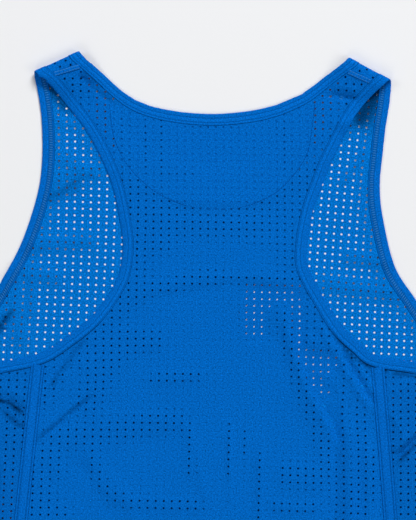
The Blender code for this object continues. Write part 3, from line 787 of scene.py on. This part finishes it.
# A net's places follow from a hole's column and row past the first: across and down, in shares of 1,
# column, row, column^2, column * row and row^2. They were read off the photo's rows of holes
nets = {
    "back": {
        "first": (0, 0), "across": (-0.15, 6.649, -0.0709, -0.00955, 0.00312, -0.00193),
        "down": (227.35, 0.107, 5.897, 0.00392, 0.00097, 0.00324)},
    "leftWindow": {
        "first": (-15, -24), "across": (-98.821, 6.8323, 0.0136, -0.004505, -0.00272, -0.0082875),
        "down": (88.638, 0.221, 5.64995, 0.003825, 0.00238, 0.007055)},
    "rightWindow": {
        "first": (15, -15), "across": (101.898, 6.36395, -0.43775, 0.0, 0.001105, 0.0085),
        "down": (143.0805, 0.57715, 5.80125, -0.00646, -0.008245, 0.002295)},
    "leftFlap": {
        "first": (-49, 17), "across": (-164.2, -6.9, -0.26325), "down": (332.4, 0.0, 5.85), "from": 36},
    "rightFlap": {"first": (53, 15), "across": (164.05, -6.4), "down": (329.6, 0.0, 5.8), "from": 39},
}
# The knit is pulled a little here and there: a place, how far, and over what reach
pulls = [
    {"at": (-106, 42), "by": (-0.6, -1.9), "reach": 26.0},
    {"at": (-88, 74), "by": (0.0, -1.2), "reach": 24.0},
    {"at": (-68, 128), "by": (0.9, -0.3), "reach": 26.0},
    {"at": (128, 34), "by": (3.6, 1.0), "reach": 28.0},
    {"at": (100, 60), "by": (1.2, -0.6), "reach": 24.0},
    {"at": (-108, 280), "by": (1.5, 1.9), "reach": 26.0},
    {"at": (-126, 297), "by": (0.6, 1.3), "reach": 12.0},
    {"at": (96, 263), "by": (-1.2, 1.0), "reach": 24.0},
    {"at": (124, 308), "by": (-1.9, 0.4), "reach": 20.0},
    {"at": (105, 382), "by": (1.0, -0.7), "reach": 26.0},
]
# Painted shade, deep inside the turned straps and down in sharp folds, on the inside, the back and the turned
# flaps: half width, depth, then the line's points
paintedInsideShadeRows = [
    (2.2, 0.6, (-164, 217), (-169, 224), (-174, 231), (-181, 242)),
    (3.0, 0.32, (-140, 126), (-124, 119), (-113, 112), (-102, 108)),
    (12.0, 0.78, (163, 8), (150, 29), (143, 38), (133, 51), (122, 68)),
    (4.8, 0.65, (-159, 6), (-146, 21), (-135, 32), (-126, 41), (-112, 56)),
]
paintedBackShadeRows = [
    (1.7, 0.7, (92, 212), (104, 234), (114, 247.5), (124, 259.5), (142, 270), (154, 274)),
    (1.6, 0.34, (-152, 337), (-140, 326), (-125, 314), (-110, 301), (-93, 288)),
    (1.5, 0.38, (-102, 243), (-116, 260), (-127, 275), (-137, 292)),
    (2.3, 0.32, (-111, 19), (-98, 30), (-87, 38), (-76, 46)),
]
paintedFlapShadeRows = [
    (1.1, 0.5, (138, 269), (151, 272), (166, 275), (186, 278)),
    (1.8, 0.8, (-188, 291), (-176, 297), (-169, 299), (-163, 303), (-153, 309)),
    (1.6, 0.45, (-176, 305), (-166, 313), (-156, 322)),
    (1.7, 0.45, (159, 353), (170, 341), (186, 326)),
]
# painted shade all over the turned flaps, and the least that any painted shade leaves
paintedShadeAmounts = {"flap": 0.07, "least": 0.1}


def lattice(row, a, j):
    # columns a and rows j placed by a net
    a, j = a - row["first"][0], j - row["first"][1]
    powers = (1, a, j, a * a, a * j, j * j)
    made = [sum(share * power for share, power in zip(row[way], powers)) for way in ("across", "down")]
    return np.stack(made, axis=-1) * (1, -1)


def backNet(a, j):
    # the back's net, and then the pulls, each falling off as exp(-(distance / reach)^2)
    plain = lattice(nets["back"], a, j)
    made = plain.copy()
    for pull in pulls:
        away = plain - plan(pull["at"])
        made += np.exp(-(away**2).sum(axis=-1) / pull["reach"]**2)[..., None] * plan(pull["by"])
    return made


armLines = {side: evenly(smoothLine(plan(armBack[side])), edgeStep) for side in sides}


def inWindow(points, side):
    # 1 in the armhole's opening, falling to 0 some way under the back
    away = np.where(insideLine(points, windows[side]), 0, fromLine(points, armLines[side]))
    return ramp(away, holes["windowFade"])


def frontNet(a, j):
    # the back's net half a cell on, close to the back's own where the holes meet, each window's own net
    # there, and a net of its own on each turned side
    base = backNet(a + 0.5, j + 0.5)
    met = holes["met"] * smooth01(2 * rises(base, matched))[:, None]
    made = base + met * (backNet(a, j) - base)
    for side in sides:
        made += inWindow(base, side)[:, None] * (lattice(nets[side + "Window"], a, j) - base)
    for side, sign in (("left", -1), ("right", 1)):
        row = nets[side + "Flap"]
        share = smooth01((sign * a - row["from"]) / holes["flapFade"])
        made += share[:, None] * (sideFolds[side].unfolded(lattice(row, a, j)) - made)
    return made


def facingNet(a, j):
    return backNet(a + 0.5, j + 0.5)


def cellRim(*fineSides):
    # the points round a cell, anticlockwise in plan, in quarters of its width and height: the lower,
    # right, upper and left side, each in one step or in four
    low, right, high, left = ((-2, -1, 0, 1) if fine else (-2,) for fine in fineSides)
    first, second = [(k, 2) for k in low], [(2, -k) for k in right]
    return np.array([*first, *second, *((-k, -2) for k in high), *((-2, k) for k in left)])


def ringFaces(rim, count):
    # walks once round, adding a triangle to whichever of the two rings lags behind; with a count of 1
    # the inner ring is the cell's middle
    around = len(rim)
    if count == 1:
        return np.array([(i, (i + 1) % around, around) for i in range(around)])
    outer = np.unwrap(np.arctan2(-rim[:, 1], rim[:, 0]))
    outer = np.append(outer, outer[0] + 2 * np.pi)
    inner = holes["turn"] + np.arange(count + 1) * 2 * np.pi / count
    faces, i, j = [], 0, 0
    while i < around or j < count:
        nextOuter = outer[i] + outer[i + 1] if i < around else np.inf
        nextInner = inner[j] + inner[j + 1] if j < count else np.inf
        if nextOuter <= nextInner + 1e-9:
            faces.append((i % around, (i + 1) % around, around + j % count))
            i += 1
        else:
            faces.append((i % around, around + (j + 1) % count, around + j % count))
            j += 1
    return np.array(faces)


def knitSheet(cells, panel, holed):
    # every cell's rim points are shared with its neighbours: each has the code column * base + row, in
    # quarters of a cell. Its hole's points are its own, and the border's points move to the outline.
    # Sides in a fine place have four steps. Also gives each face's cell
    placeOf, base = panel["net"], 4000
    turns = holes["turn"] + np.arange(holes["corners"]) * 2 * np.pi / holes["corners"]
    circle = holes["radius"] * np.stack([np.cos(turns), np.sin(turns)], axis=1)
    middles = [placeOf(*(cells + way).T.astype(float)) for way in ((0, 0.5), (0.5, 0), (0, -0.5), (-0.5, 0))]
    kinds = np.stack([*(panel["fine"](some) for some in middles), holed], axis=1)
    groups = []
    for kind in np.unique(kinds, axis=0):
        pick = np.flatnonzero((kinds == kind).all(axis=1))
        rim, own, count = cellRim(*kind[:4]), cells[pick], holes["corners"] if kind[4] else 1
        inner = placeOf(*own.T.astype(float))[:, None] + (circle[None] if kind[4] else np.zeros((1, 1, 2)))
        groups.append((own[:, None] * 4 + rim[None], inner, ringFaces(rim, count), len(rim), count, pick))
    codes = np.concatenate([group[0].reshape(-1, 2) @ (base, 1) for group in groups])
    shared, back = np.unique(codes, return_inverse=True)
    column = (shared + base // 2) // base
    at, done, faces, owners = len(shared), 0, [], []
    for spots, inner, pattern, around, count, pick in groups:
        total = len(spots)
        own = back[done: done + total * around].reshape(total, around)
        middle = at + np.arange(total * count).reshape(total, count)
        done, at = done + total * around, at + total * count
        faces.append(np.hstack([own, middle])[:, pattern].reshape(-1, 3))
        owners.append(np.repeat(pick, len(pattern)))
    faces = np.vstack(faces)
    rimPlaces = placeOf(column / 4, (shared - column * base) / 4)
    places = np.vstack([rimPlaces, *(group[1].reshape(-1, 2) for group in groups)])
    border = np.unique(rimOf(faces, len(places)))
    border = border[border < len(shared)]
    places[border] = panel["outline"][nearestOf(places[border], panel["outline"])]
    return places, faces, np.concatenate(owners)


def walled(places, faces, lay, low, high):
    # the sheet at two offsets along its normals, joined round every rim
    spots, out, count = lay(places), outOf(places, lay), len(places)
    rim = rimOf(faces, count)
    walls = np.column_stack([rim[:, 1], rim[:, 0], rim[:, 0] + count, rim[:, 1] + count])
    points = np.vstack([spots + high * out, spots + low * out])
    return points, [np.vstack([faces, faces[:, ::-1] + count]), walls]


def flatSize(cloth, middle=100.0):
    # width and length of a flat piece; of two flaps, both outside the middle, the widths are added
    apart = np.abs(cloth[:, 0]).min() > middle
    flaps = [cloth[cloth[:, 0] < 0], cloth[cloth[:, 0] >= 0]] if apart else [cloth]
    return sum(float(np.ptp(flap[:, 0])) for flap in flaps) * mm, float(np.ptp(cloth[:, 1])) * mm


def flatArea(places, faces):
    a, b, c = (places[faces[:, k]] for k in range(3))
    return float(np.abs((b - a)[:, 0] * (c - a)[:, 1] - (b - a)[:, 1] * (c - a)[:, 0]).sum() / 2) * mm * mm


def cellsIn(panel):
    # the columns and rows of cells whose middles lie inside the panel's outline, and those middles
    columns, rows = (np.arange(*panel[key]) for key in ("columns", "rows"))
    cells = np.stack(np.meshgrid(columns, rows, indexing="ij"), axis=2).reshape(-1, 2)
    middles = panel["net"](*cells.T.astype(float))
    kept = insideLine(middles, panel["outline"])
    return cells[kept], middles[kept]


def knitPieces(panel, cells, middles, shares):
    # a panel is one sheet, in several pieces where it is large, each with its share of the cells. There
    # are no holes close to its bare lines, which lie under a binding, a tape or a seam
    holed = np.ones(len(cells), bool)
    for line, reach in panel["bare"]:
        holed &= fromLine(middles, line) > reach
    places, faces, owners = knitSheet(cells, panel, holed)
    made = {}
    for name, pick in shares.items():
        used, own = np.unique(faces[pick[owners]], return_inverse=True)
        own, cloth = own.reshape(-1, 3), places[used]
        points, allFaces = walled(cloth, own, panel["lay"], *panel["offsets"])
        below = np.arange(sum(map(len, allFaces))) >= len(own)
        piece = makePiece(
            name, points, allFaces, np.vstack([cloth, cloth]), panel["upper"], panel["slot"],
            panel["shade"](cloth), under=(panel["under"], below))
        made[name] = (piece, flatSize(cloth), flatArea(cloth, own))
    return made


fineMesh = {"from": 0.25, "backWidth": 4.1, "frontWidth": 5.0, "pastFold": 3.0}


def creased(rows, most):
    # where a ridge or trough narrower than most needs a finer mesh
    narrow = [(wide, 1.0, *line) for wide, _, *line in rows if wide < most]
    return overNet(lambda points: rises(points, narrow))[..., 0]


backCreases = creased(upperRises + paintedBackShadeRows, fineMesh["backWidth"])
frontCreases = creased(lowerRises, fineMesh["frontWidth"])


def fineBack(points):
    return sampled(backCreases, points) > fineMesh["from"]


def fineFront(points):
    # round every fold, by its narrow ridges and by those of the upper cloth on its turned sides
    near = sampled(frontCreases, points) > fineMesh["from"]
    for fold in folds.values():
        past = fold.past(points)
        near |= (past > -fineMesh["pastFold"]) & (past < fold.arc + fineMesh["pastFold"])
        near |= (past > fold.arc) & fineBack(fold.folded(points)[0])
    return near


def backPaintedShade(cloth):
    # painted shade down in the back's creases and beside its armhole bindings; none on the face below
    return np.concatenate([1 - rises(cloth, paintedBackShadeRows), np.ones(len(cloth))])


def frontPaintedShade(cloth):
    # painted shade: on the upper face inside the straps and in its folds, and on the outer face of what is
    # turned up at the sides, darker all over and in its creases
    turned = np.maximum(*(fold.past(cloth) - fold.arc for fold in sideFolds.values())) > 0
    outer = 1 - (paintedShadeAmounts["flap"] + rises(laidFront(cloth)[:, :2], paintedFlapShadeRows)) * turned
    return np.clip(np.concatenate([1 - rises(cloth, paintedInsideShadeRows), outer]), paintedShadeAmounts["least"], 1)


bare = {"neck": strips["neck"] - 1.5, "arm": strips["arm"] - 1.5, "seam": 4.6, "top": 3.5, "hem": 3.0}


def bareLines(part, seams, tops):
    # lines, each with how far from it there are no holes
    return [
        (evenly(neck[part].edge), bare["neck"]), (hemLine, bare["hem"]),
        *((evenly(arms[side][part].edge), bare["arm"]) for side in sides),
        *((line, bare["seam"]) for line in seams), *((line, bare["top"]) for line in tops),
    ]


def bands(name, panel, middles):
    # a panel's cells in three shares, cut at two heights in plan
    y, (high, low) = middles[:, 1], panel["cuts"]
    return {name + "Top": y > high, name + "Middle": (y <= high) & (y > low), name + "Bottom": y <= low}


halfThick = 0.12
bothFaces = (-halfThick, halfThick)
seamTops = {side: evenly(seamLines[side]) for side in sides}
turnedSeams = [sideFolds[side].unfolded(seamPoints[side]) for side in sides]
turnedTops = [topFolds[side].unfolded(seamTops[side]) for side in sides]
backPanel = {
    "slot": "back_knit", "upper": "outside", "under": "inside", "lay": laidBack, "offsets": bothFaces,
    "outline": outlines["back"], "bare": bareLines("back", seamPoints.values(), seamTops.values()),
    "net": backNet, "columns": (-40, 42), "rows": (-50, 90), "cuts": (-300, -500),
    "fine": fineBack, "shade": backPaintedShade,
}
frontPanel = {
    "slot": "front_knit", "upper": "inside", "under": "outside", "lay": laidFront, "offsets": bothFaces,
    "outline": outlines["front"], "bare": bareLines("front", turnedSeams, turnedTops),
    "net": frontNet, "columns": (-62, 66), "rows": (-56, 90), "cuts": (-292, -500), "flaps": (-38, 41),
    "fine": fineFront, "shade": frontPaintedShade,
}
backCells, backMiddles = cellsIn(backPanel)
frontCells, frontMiddles = cellsIn(frontPanel)
flaps = (frontCells[:, 0] < frontPanel["flaps"][0]) | (frontCells[:, 0] > frontPanel["flaps"][1])
backShares = bands("backKnit", backPanel, backMiddles)
frontShares = {name: pick & ~flaps for name, pick in bands("frontKnit", frontPanel, frontMiddles).items()}
frontShares["frontKnitSides"] = flaps
pieces = knitPieces(backPanel, backCells, backMiddles, backShares)
pieces |= knitPieces(frontPanel, frontCells, frontMiddles, frontShares)
print("knit:", {name: len(made[0].data.polygons) for name, made in pieces.items()})


# Bindings: a folded strip's section carried along its stations

# edge and groove marks give distance, height and painted shade: dark at the edge and down in a groove,
# lighter on its ridges, and darker under the covering thread
bindingForm = {
    "high": 0.54, "slot": 0.14, "slotEnd": 2.2, "slotRound": 1.9, "paintedShadeUnderThread": 0.72, "beside": 0.5,
    "turnIn": 0.65, "needle": 0.4, "ladder": -0.55, "flatLess": 2,
    "edge": [(0.0, 0.3, None), (0.12, 0.6, None), (0.35, 0.86, 0.8), (0.6, 0.96, 1.0)],
    "groove": [(0.75, 1.02, 1.1), (0.3, 0.84, 0.8), (0.0, 0.68, 0.45)],
    "ridge": [(-0.6, 1.03), (0.8, 1.06)], "rolled": [(0.9, 1.0), (0.35, 0.78), (0.08, 0.42)],
}


def grooved(row, steps):
    # a needle row's marks across a strip, from steps of distance, height and painted shade on both sides
    before = [(row - away, high, shade) for away, high, shade in steps]
    return before + [(row + away, high, shade) for away, high, shade in steps[-2::-1]]


def bindingSection(width, rows, edgePaintedShade):
    # distance in from the inner line, height and painted shade: outer face, rolled edge, other face, then the
    # slot. Each needle row pulls a groove, painted darker, with a soft ridge on both sides painted lighter;
    # the edge by the panel and the slot's mouth are painted dark. Under the covering thread the other face
    # is painted darker, as shade between its strands
    marks = [(away, high, shade or edgePaintedShade) for away, high, shade in bindingForm["edge"]]
    for row in rows:
        marks += grooved(row, bindingForm["groove"])
    marks += [((rows[-1] + width) / 2 + away, high, 1.0) for away, high in bindingForm["ridge"]]
    marks += [(width - away, high, 1.0) for away, high in bindingForm["rolled"]]
    across, high, shade = np.array(marks).T
    high = high * bindingForm["high"]
    paintedShadeUnderThread = (across > rows[0] - bindingForm["beside"]) & (across < rows[1] + bindingForm["beside"])
    other = np.column_stack([across, -high, np.where(paintedShadeUnderThread, bindingForm["paintedShadeUnderThread"], shade)])
    slot, end = bindingForm["slot"], width - bindingForm["slotEnd"]
    inside = [
        (0.0, -slot, 0.5), (end, -slot, 1), (width - bindingForm["slotRound"], 0.0, 1), (end, slot, 1),
        (0.0, slot, 0.5),
    ]
    return np.vstack([np.column_stack([across, high, shade]), [(width, 0.0, 1.0)], other[::-1], inside])


def bindingPoints(bound, offsets):
    # for each station and each (distance from the inner line, height): a point over the laid cloth
    grids = []
    for rungs, lay, side in ((bound["front"], laidFront, -1), (bound["back"].part(1, -1), laidBack, 1)):
        cloth = rungs.inner[:, None] + offsets[None, :, :1] * unit(rungs.edge - rungs.inner)[:, None]
        flat = cloth.reshape(-1, 2)
        high = np.tile(offsets[:, 1], len(cloth))[:, None]
        grids.append((lay(flat) + high * side * outOf(flat, lay)).reshape(*cloth.shape[:2], 3))
    return np.vstack(grids)


def tube(points):
    # quads of a closed ring of closed sections
    count, corners = points.shape[:2]
    at = np.arange(count * corners).reshape(count, corners)
    after, around = np.roll(at, -1, axis=0), np.roll(at, -1, axis=1)
    return np.stack([at, around, np.roll(after, -1, axis=1), after], axis=2).reshape(-1, 4)


# each binding's painted shade along its edge by the panel
bindings = {
    "neckBinding": {"bound": neck, "rows": (2.45, 6.3), "edgePaintedShade": 0.12},
    "armholeBindingLeft": {"bound": arms["left"], "rows": (1.4, 5.0), "edgePaintedShade": 0.18},
    "armholeBindingRight": {"bound": arms["right"], "rows": (1.4, 5.0), "edgePaintedShade": 0.18},
}
# Painted shadow where a binding's edge stands off the back and the gap under it is dark: half width, depth,
# points
paintedEdgeShadows = [
    (4.0, 0.85, (103, 232), (115, 248), (130, 260), (140, 267), (152, 271.5), (184, 275)),
    (4.0, 0.6, (-84, 222), (-101, 243), (-126, 260), (-140, 266), (-184, 275)),
]
for name, row in bindings.items():
    width = row["bound"]["width"]
    section = bindingSection(width, row["rows"], row["edgePaintedShade"])
    points = bindingPoints(row["bound"], section[:, :2])
    length, flat = lengths(points[:, 0]), points.reshape(-1, 3)
    own = np.stack(np.meshgrid(length, lengths(section[:, :2]), indexing="ij"), axis=2)
    # painted shadow on the binding's first strip by the panel, along those edges
    deep = rises(flat[:, :2], paintedEdgeShadows) * np.tile(section[:, 0] < bindingForm["turnIn"], len(points))
    row["piece"] = makePiece(
        name, flat, [tube(points)], own.reshape(-1, 2), "binding", "binding_knit",
        np.tile(section[:, 2], len(points)) * (1 - deep), sharp=1.2)
    row["flat"] = ((width * 2 - bindingForm["flatLess"]) * mm, float(length[-1]) * mm)
print("bindings made")


# Strips laid along a line: tapes over the side seams, the shoulder seams and the turned hems

def strip(name, line, lay, profile, finish, slot):
    # profile: distance across, height over the laid cloth and painted shade; closed at both ends
    profile = np.array(profile)
    cloth = line[:, None] + profile[None, :, :1] * leftOf(line)[:, None]
    flat = cloth.reshape(-1, 2)
    points = lay(flat) + np.tile(profile[:, 1], len(line))[:, None] * outOf(flat, lay)
    at = np.arange(len(flat)).reshape(cloth.shape[:2])
    around, middle = np.roll(at, -1, axis=1), at.shape[1] // 2
    caps = []
    for row, turn in ((at[0], 1), (at[-1], -1)):
        low, high = row[:middle], row[middle:][::-1]
        caps.append(np.stack([low[:-1], low[1:], high[1:], high[:-1]], axis=1)[:, ::turn])
    faces = np.stack([around[:-1], around[1:], at[1:], at[:-1]], axis=2).reshape(-1, 4)
    made = makePiece(
        name, points, [np.vstack([faces, *caps])], flat, finish, slot, np.tile(profile[:, 2], len(line)),
        sharp=1.2)
    width, length = float(np.ptp(profile[:, 0])) * mm, float(lengths(line)[-1]) * mm
    return made, (width, length), width * length


def raisedProfile(look):
    # the top from one side to the other, with the strip's groove at each row, then the underside back.
    # Painted shade darkens both edges and each groove, and painted highlight lightens the ridges beside them
    edge, high, low = look["width"] / 2, look["high"], look["low"]
    marks = [(-edge, low + 0.01, 0.35), (-edge + 0.2, high * 0.7, 0.6), (-edge + 0.7, high, 1.2)]
    ending = [(-across, up, shade) for across, up, shade in reversed(marks)]
    steps = [(away, high - deep, shade) for away, deep, shade in look["groove"]]
    for row in look["rows"]:
        marks += grooved(row, steps)
    marks += ending
    return marks + [(across, low, 1.0) for across, _, _ in reversed(marks)]


# groove steps: distance, depth and painted shade
tape = {
    "width": strips["tape"], "high": 0.8, "low": 0.16, "rows": (-3.5, 3.5), "thread": 0.6,
    "groove": [(0.8, 0.0, 1.12), (0.35, 0.12, 0.75), (0.0, 0.24, 0.5)],
}
shoulderSeam = {
    "width": 4.8, "high": 0.6, "low": 0.16, "rows": (-1.1, 1.1), "thread": 0.6, "groove": [], "step": 1.5,
}
hemForm = {"inset": 0.8, "rows": (0.8, 4.0), "near": 0.2, "far": 0.6, "step": 1.5}
hemUp = np.array((0, strips["hem"] / 2 + hemForm["inset"]))


def shoulderLine(side):
    # the seam between the two bindings' inner lines
    line, top, count = seamLines[side], neck["back"].inner, stations["strapEnd"]
    ends = top[:count] if side == "left" else top[-count:], arms[side]["back"].inner[:count]
    first, last = sorted(nearestAt(line, end) for end in ends)
    return evenly(line[first: last + 1], shoulderSeam["step"])


def bottomFront():
    # the front's lower edge, with both turned ends, moved up by half the hem
    starts = [hemStart(side) for side in sides]
    ends = [sideFolds[side].unfolded(seamPoints[side][-2:-1])[0] for side in sides]
    left, middle, right = (
        straight(*pair, hemForm["step"]) for pair in ((ends[0], starts[0]), starts, (starts[1], ends[1])))
    return np.vstack([left[:-1], middle, right[1:]]) + hemUp


def hemBand(name, line, lay, low, high, slot):
    # the turned hem: a flat band inside, from just above the edge up to the two needle rows
    wide = strips["hem"] / 2
    over, under = [(x, high, 1.0) for x in (-wide, 0.0, wide)], [(x, low, 1.0) for x in (wide, 0.0, -wide)]
    pieces[name] = strip(name, line, lay, over + under, "inside", slot)


tapeLines = {side: evenly(seamPoints[side][3:], edgeStep) for side in sides}
seamRuns = {side: shoulderLine(side) for side in sides}
for start, runs, look, slot in (
    ("seamTape", tapeLines, tape, "tape_knit"), ("shoulderSeam", seamRuns, shoulderSeam, "back_knit"),
):
    for side in sides:
        name = start + side.capitalize()
        pieces[name] = strip(name, runs[side], laidBack, raisedProfile(look), "tape", slot)
bottomBack = straight(seamPoints["left"][-1], seamPoints["right"][-1])[2:-2] + hemUp
hemBand("backHem", bottomBack, laidBack, -hemForm["far"], -hemForm["near"], "back_knit")
hemBand("frontHem", bottomFront(), laidFront, hemForm["near"], hemForm["far"], "front_knit")
print("tapes, seams and hems made")


# Half-moon facing behind the back neck

def halfMoonLine():
    # its curved line, and the stretch of the neck binding's inner line between the curve's ends
    line, inner = smoothLine(plan(halfMoon)), neck["back"].inner
    first, last = (nearestAt(inner, end) for end in (line[:1], line[-1:]))
    return line, inner[first: last + 1]


def laidFacing(points):
    # behind the back, and lower where it hangs off it
    places = laidBack(points)
    places[:, 2] -= rises(points, facingParted)
    return places


facingForm = {"far": 0.35, "near": 0.06, "edge": 3.0}
moon, moonTop = halfMoonLine()
moonOutline = joinedLine([evenly(moon, edgeStep)[::-1], moonTop])
facingPanel = {
    "slot": "facing_knit", "upper": "facing", "under": "facing", "lay": laidFacing,
    "offsets": (-halfThick - facingForm["far"], -halfThick - facingForm["near"]),
    "outline": moonOutline, "bare": [(moonOutline, facingForm["edge"])],
    "net": facingNet, "columns": (-20, 20), "rows": (-45, -5),
    "fine": fineBack, "shade": lambda cloth: np.ones(2 * len(cloth)),
}
facingCells, facingMiddles = cellsIn(facingPanel)
pieces |= knitPieces(facingPanel, facingCells, facingMiddles, {"neckFacing": np.ones(len(facingCells), bool)})


# Threads: each strand is a small lozenge, thick in its middle, from one point to another

threads = {
    "needle": {"pitch": 2.7, "long": 2.3, "wide": 0.36, "thick": 0.26, "rise": 0.1},
    "ladder": {"pitch": 2.0, "slant": 0.35, "wide": 0.72, "thick": 0.4, "rise": 0.12},
    "moon": {"pitch": 2.6, "long": 2.6, "wide": 0.8, "thick": 0.16, "rise": 0.02},
    "shoulder": {"pitch": 2.4, "long": 2.2, "wide": 0.8, "thick": 0.4, "rise": 0.12},
    "hem": {"pitch": 2.7, "long": 2.3, "wide": 0.5, "thick": 0.24, "rise": 0.05},
}
lozenge = [(0.2, 0.8), (0.5, 1.0), (0.8, 0.8)]  # share of the way, then of the full size


def strands(name, start, end, up, look, finish):
    # rings of four on the way, drawn out to a point at each end and raised between
    way = end - start
    across = unit(np.cross(way, up))
    rings = []
    for share, swell in lozenge:
        middle = start + share * way + look["rise"] * np.sin(np.pi * share) * up
        wide, thick = swell * look["wide"] / 2 * across, swell * look["thick"] / 2 * up
        rings += [middle + wide, middle + thick, middle - wide, middle - thick]
    points = np.stack([*rings, start, end], axis=1).reshape(-1, 3)
    turn = [(k, (k + 1) % 4) for k in range(4)]
    quads = [(at + k, at + after, at + 4 + after, at + 4 + k) for at in (0, 4) for k, after in turn]
    ends = [(after, k, 12) for k, after in turn] + [(8 + k, 8 + after, 13) for k, after in turn]
    base = 14 * np.arange(len(start))[:, None, None]
    faces = [(base + np.array(some)[None]).reshape(-1, len(some[0])) for some in (quads, ends)]
    return makePiece(name, points, faces, points[:, :2], finish, "binding_knit", sharp=1.6)


def stitches(name, runs, look, finish="thread"):
    # runs: (points, normals) of lines already in space, with a stitch at each pitch
    starts, ends, ups = [], [], []
    for line, out in runs:
        far = lengths(line)
        count = max(1, int(far[-1] / look["pitch"]))
        at = (np.arange(count) + 0.5) * far[-1] / count
        starts.append(taken(line, far, at - look["long"] / 2))
        ends.append(taken(line, far, at + look["long"] / 2))
        ups.append(unit(taken(out, far, at)))
    return strands(name, np.vstack(starts), np.vstack(ends), np.vstack(ups), look, finish)


def closedRun(bound, across, high):
    # one line round a binding at a distance from its inner line and a height, with its normals
    points = bindingPoints(bound, np.array([(across, high), (across, high + np.sign(high) * 0.5)]))
    points = np.concatenate([points, points[:1]])
    return points[:, 0], points[:, 1] - points[:, 0]


def ladderStitches(name, bound, rows, look):
    # the covering thread inside a binding: at each pitch a strand slanting over to the other row
    (left, _), (right, out) = (closedRun(bound, row, bindingForm["ladder"]) for row in rows)
    far = lengths(right)
    at = np.arange(int(far[-1] / look["pitch"])) * look["pitch"]
    start, end = taken(left, far, at), taken(right, far, at + look["slant"] * look["pitch"])
    return strands(name, start, end, unit(taken(out, far, at)), look, "paleThread")


def over(line, lay, above):
    # a plan line laid on a cloth, with normals to the side that above points to
    out = outOf(line, lay)
    return lay(line) + above * out, np.sign(above) * out


stitches("needleStitches", [
    closedRun(row["bound"], across, bindingForm["needle"])
    for row in bindings.values() for across in row["rows"]
], threads["needle"])
for name, row in bindings.items():
    ladderStitches(name.replace("Binding", "Ladder"), row["bound"], row["rows"], threads["ladder"])
stitches("halfMoonStitches", [over(evenly(moon, 2.0), laidBack, halfThick)], threads["moon"], "paintedShadeThread")
stitches("tapeStitches", [
    over(sideways(tapeLines[side], row), laidBack, tape["thread"])
    for side in sides for row in tape["rows"]
], threads["needle"])
stitches("shoulderStitches", [
    over(sideways(seamRuns[side], row), laidBack, shoulderSeam["thread"])
    for side in sides for row in shoulderSeam["rows"]
], threads["shoulder"], "paleThread")
stitches("hemStitches", [
    over(line + (0, strips["hem"] / 2 - row), lay, above)
    for line, lay, above in ((bottomBack, laidBack, halfThick), (bottomFront(), laidFront, -halfThick))
    for row in hemForm["rows"]
], threads["hem"])
print("stitches made")


# Floor, light and camera

floorLook = {"colour": (247, 248, 250), "reach": 6.0, "roughness": 0.9, "shine": 0.1}
studio = {"aim": 0.17, "height": 3.3, "out": 3.8, "size": 1.8, "power": 68.0, "sky": 0.2}
lamps = {  # angle round the singlet and share of the power
    "lampMain": (64, 2.7), "lampLeft": (165, 0.55), "lampBottom": (250, 0.45), "lampRight": (335, 0.45),
}
view = {"middle": (0.00735, 0.17068), "height": 2.6, "width": 0.3536, "sensor": 36.0, "reach": 50.0}


def stand(name, data):
    # a new object in the scene
    made = bpy.data.objects.new(name, data)
    bpy.context.scene.collection.objects.link(made)
    return made


def addFloor(look):
    # one square face, far wider than the singlet
    mesh, reach = bpy.data.meshes.new("floor"), look["reach"]
    corners = [(-reach, -reach, 0), (reach, -reach, 0), (reach, reach, 0), (-reach, reach, 0)]
    mesh.from_pydata(corners, [], [(0, 1, 2, 3)])
    finish = Finish("paleFloor")
    finish.put("Base Color", linear(look["colour"]))
    finish.put("Roughness", look["roughness"])
    finish.put("Specular IOR Level", look["shine"])
    mesh.materials.append(finish.material)
    stand("floor", mesh)


def addLamp(name, angle, share):
    # a square lamp out at an angle round the singlet, turned towards it
    data = bpy.data.lights.new(name, "AREA")
    data.shape, data.size, data.energy = "SQUARE", studio["size"], studio["power"] * share
    lamp, turn = stand(name, data), np.radians(angle)
    aim = np.array((0.0, studio["aim"], 0.0))
    out = np.array((studio["out"] * np.cos(turn), studio["out"] * np.sin(turn), studio["height"]))
    lamp.location = aim + out
    tilt = np.arccos(studio["height"] / np.linalg.norm(out))
    lamp.rotation_euler = (tilt, 0.0, turn + np.pi / 2)


addFloor(floorLook)
for name, (angle, share) in lamps.items():
    addLamp(name, angle, share)
world = bpy.data.worlds.new("studioAir")
world.use_nodes = True
world.node_tree.nodes["Background"].inputs["Color"].default_value = (1, 1, 1, 1)
world.node_tree.nodes["Background"].inputs["Strength"].default_value = studio["sky"]
bpy.context.scene.world = world

camera = stand("camera", bpy.data.cameras.new("camera"))
camera.location = (*view["middle"], view["height"])
camera.data.sensor_fit, camera.data.sensor_width = "HORIZONTAL", view["sensor"]
camera.data.lens = view["sensor"] * view["height"] / view["width"]
camera.data.clip_end = view["reach"]
bpy.context.scene.camera = camera
bpy.context.scene.view_settings.view_transform = "Standard"

# The solids that the knit, bindings and tapes stand in for are hidden

for name in frontShares:
    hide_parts("front_panel")
for name in backShares:
    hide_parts("back_panel")
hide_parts("neck_facing")
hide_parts("neck_binding")
for side in sides:
    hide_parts("armhole_binding_" + side)
    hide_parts("seam_tape_" + side)
for name, (piece, flat, area) in pieces.items():
    not name.startswith("shoulderSeam")
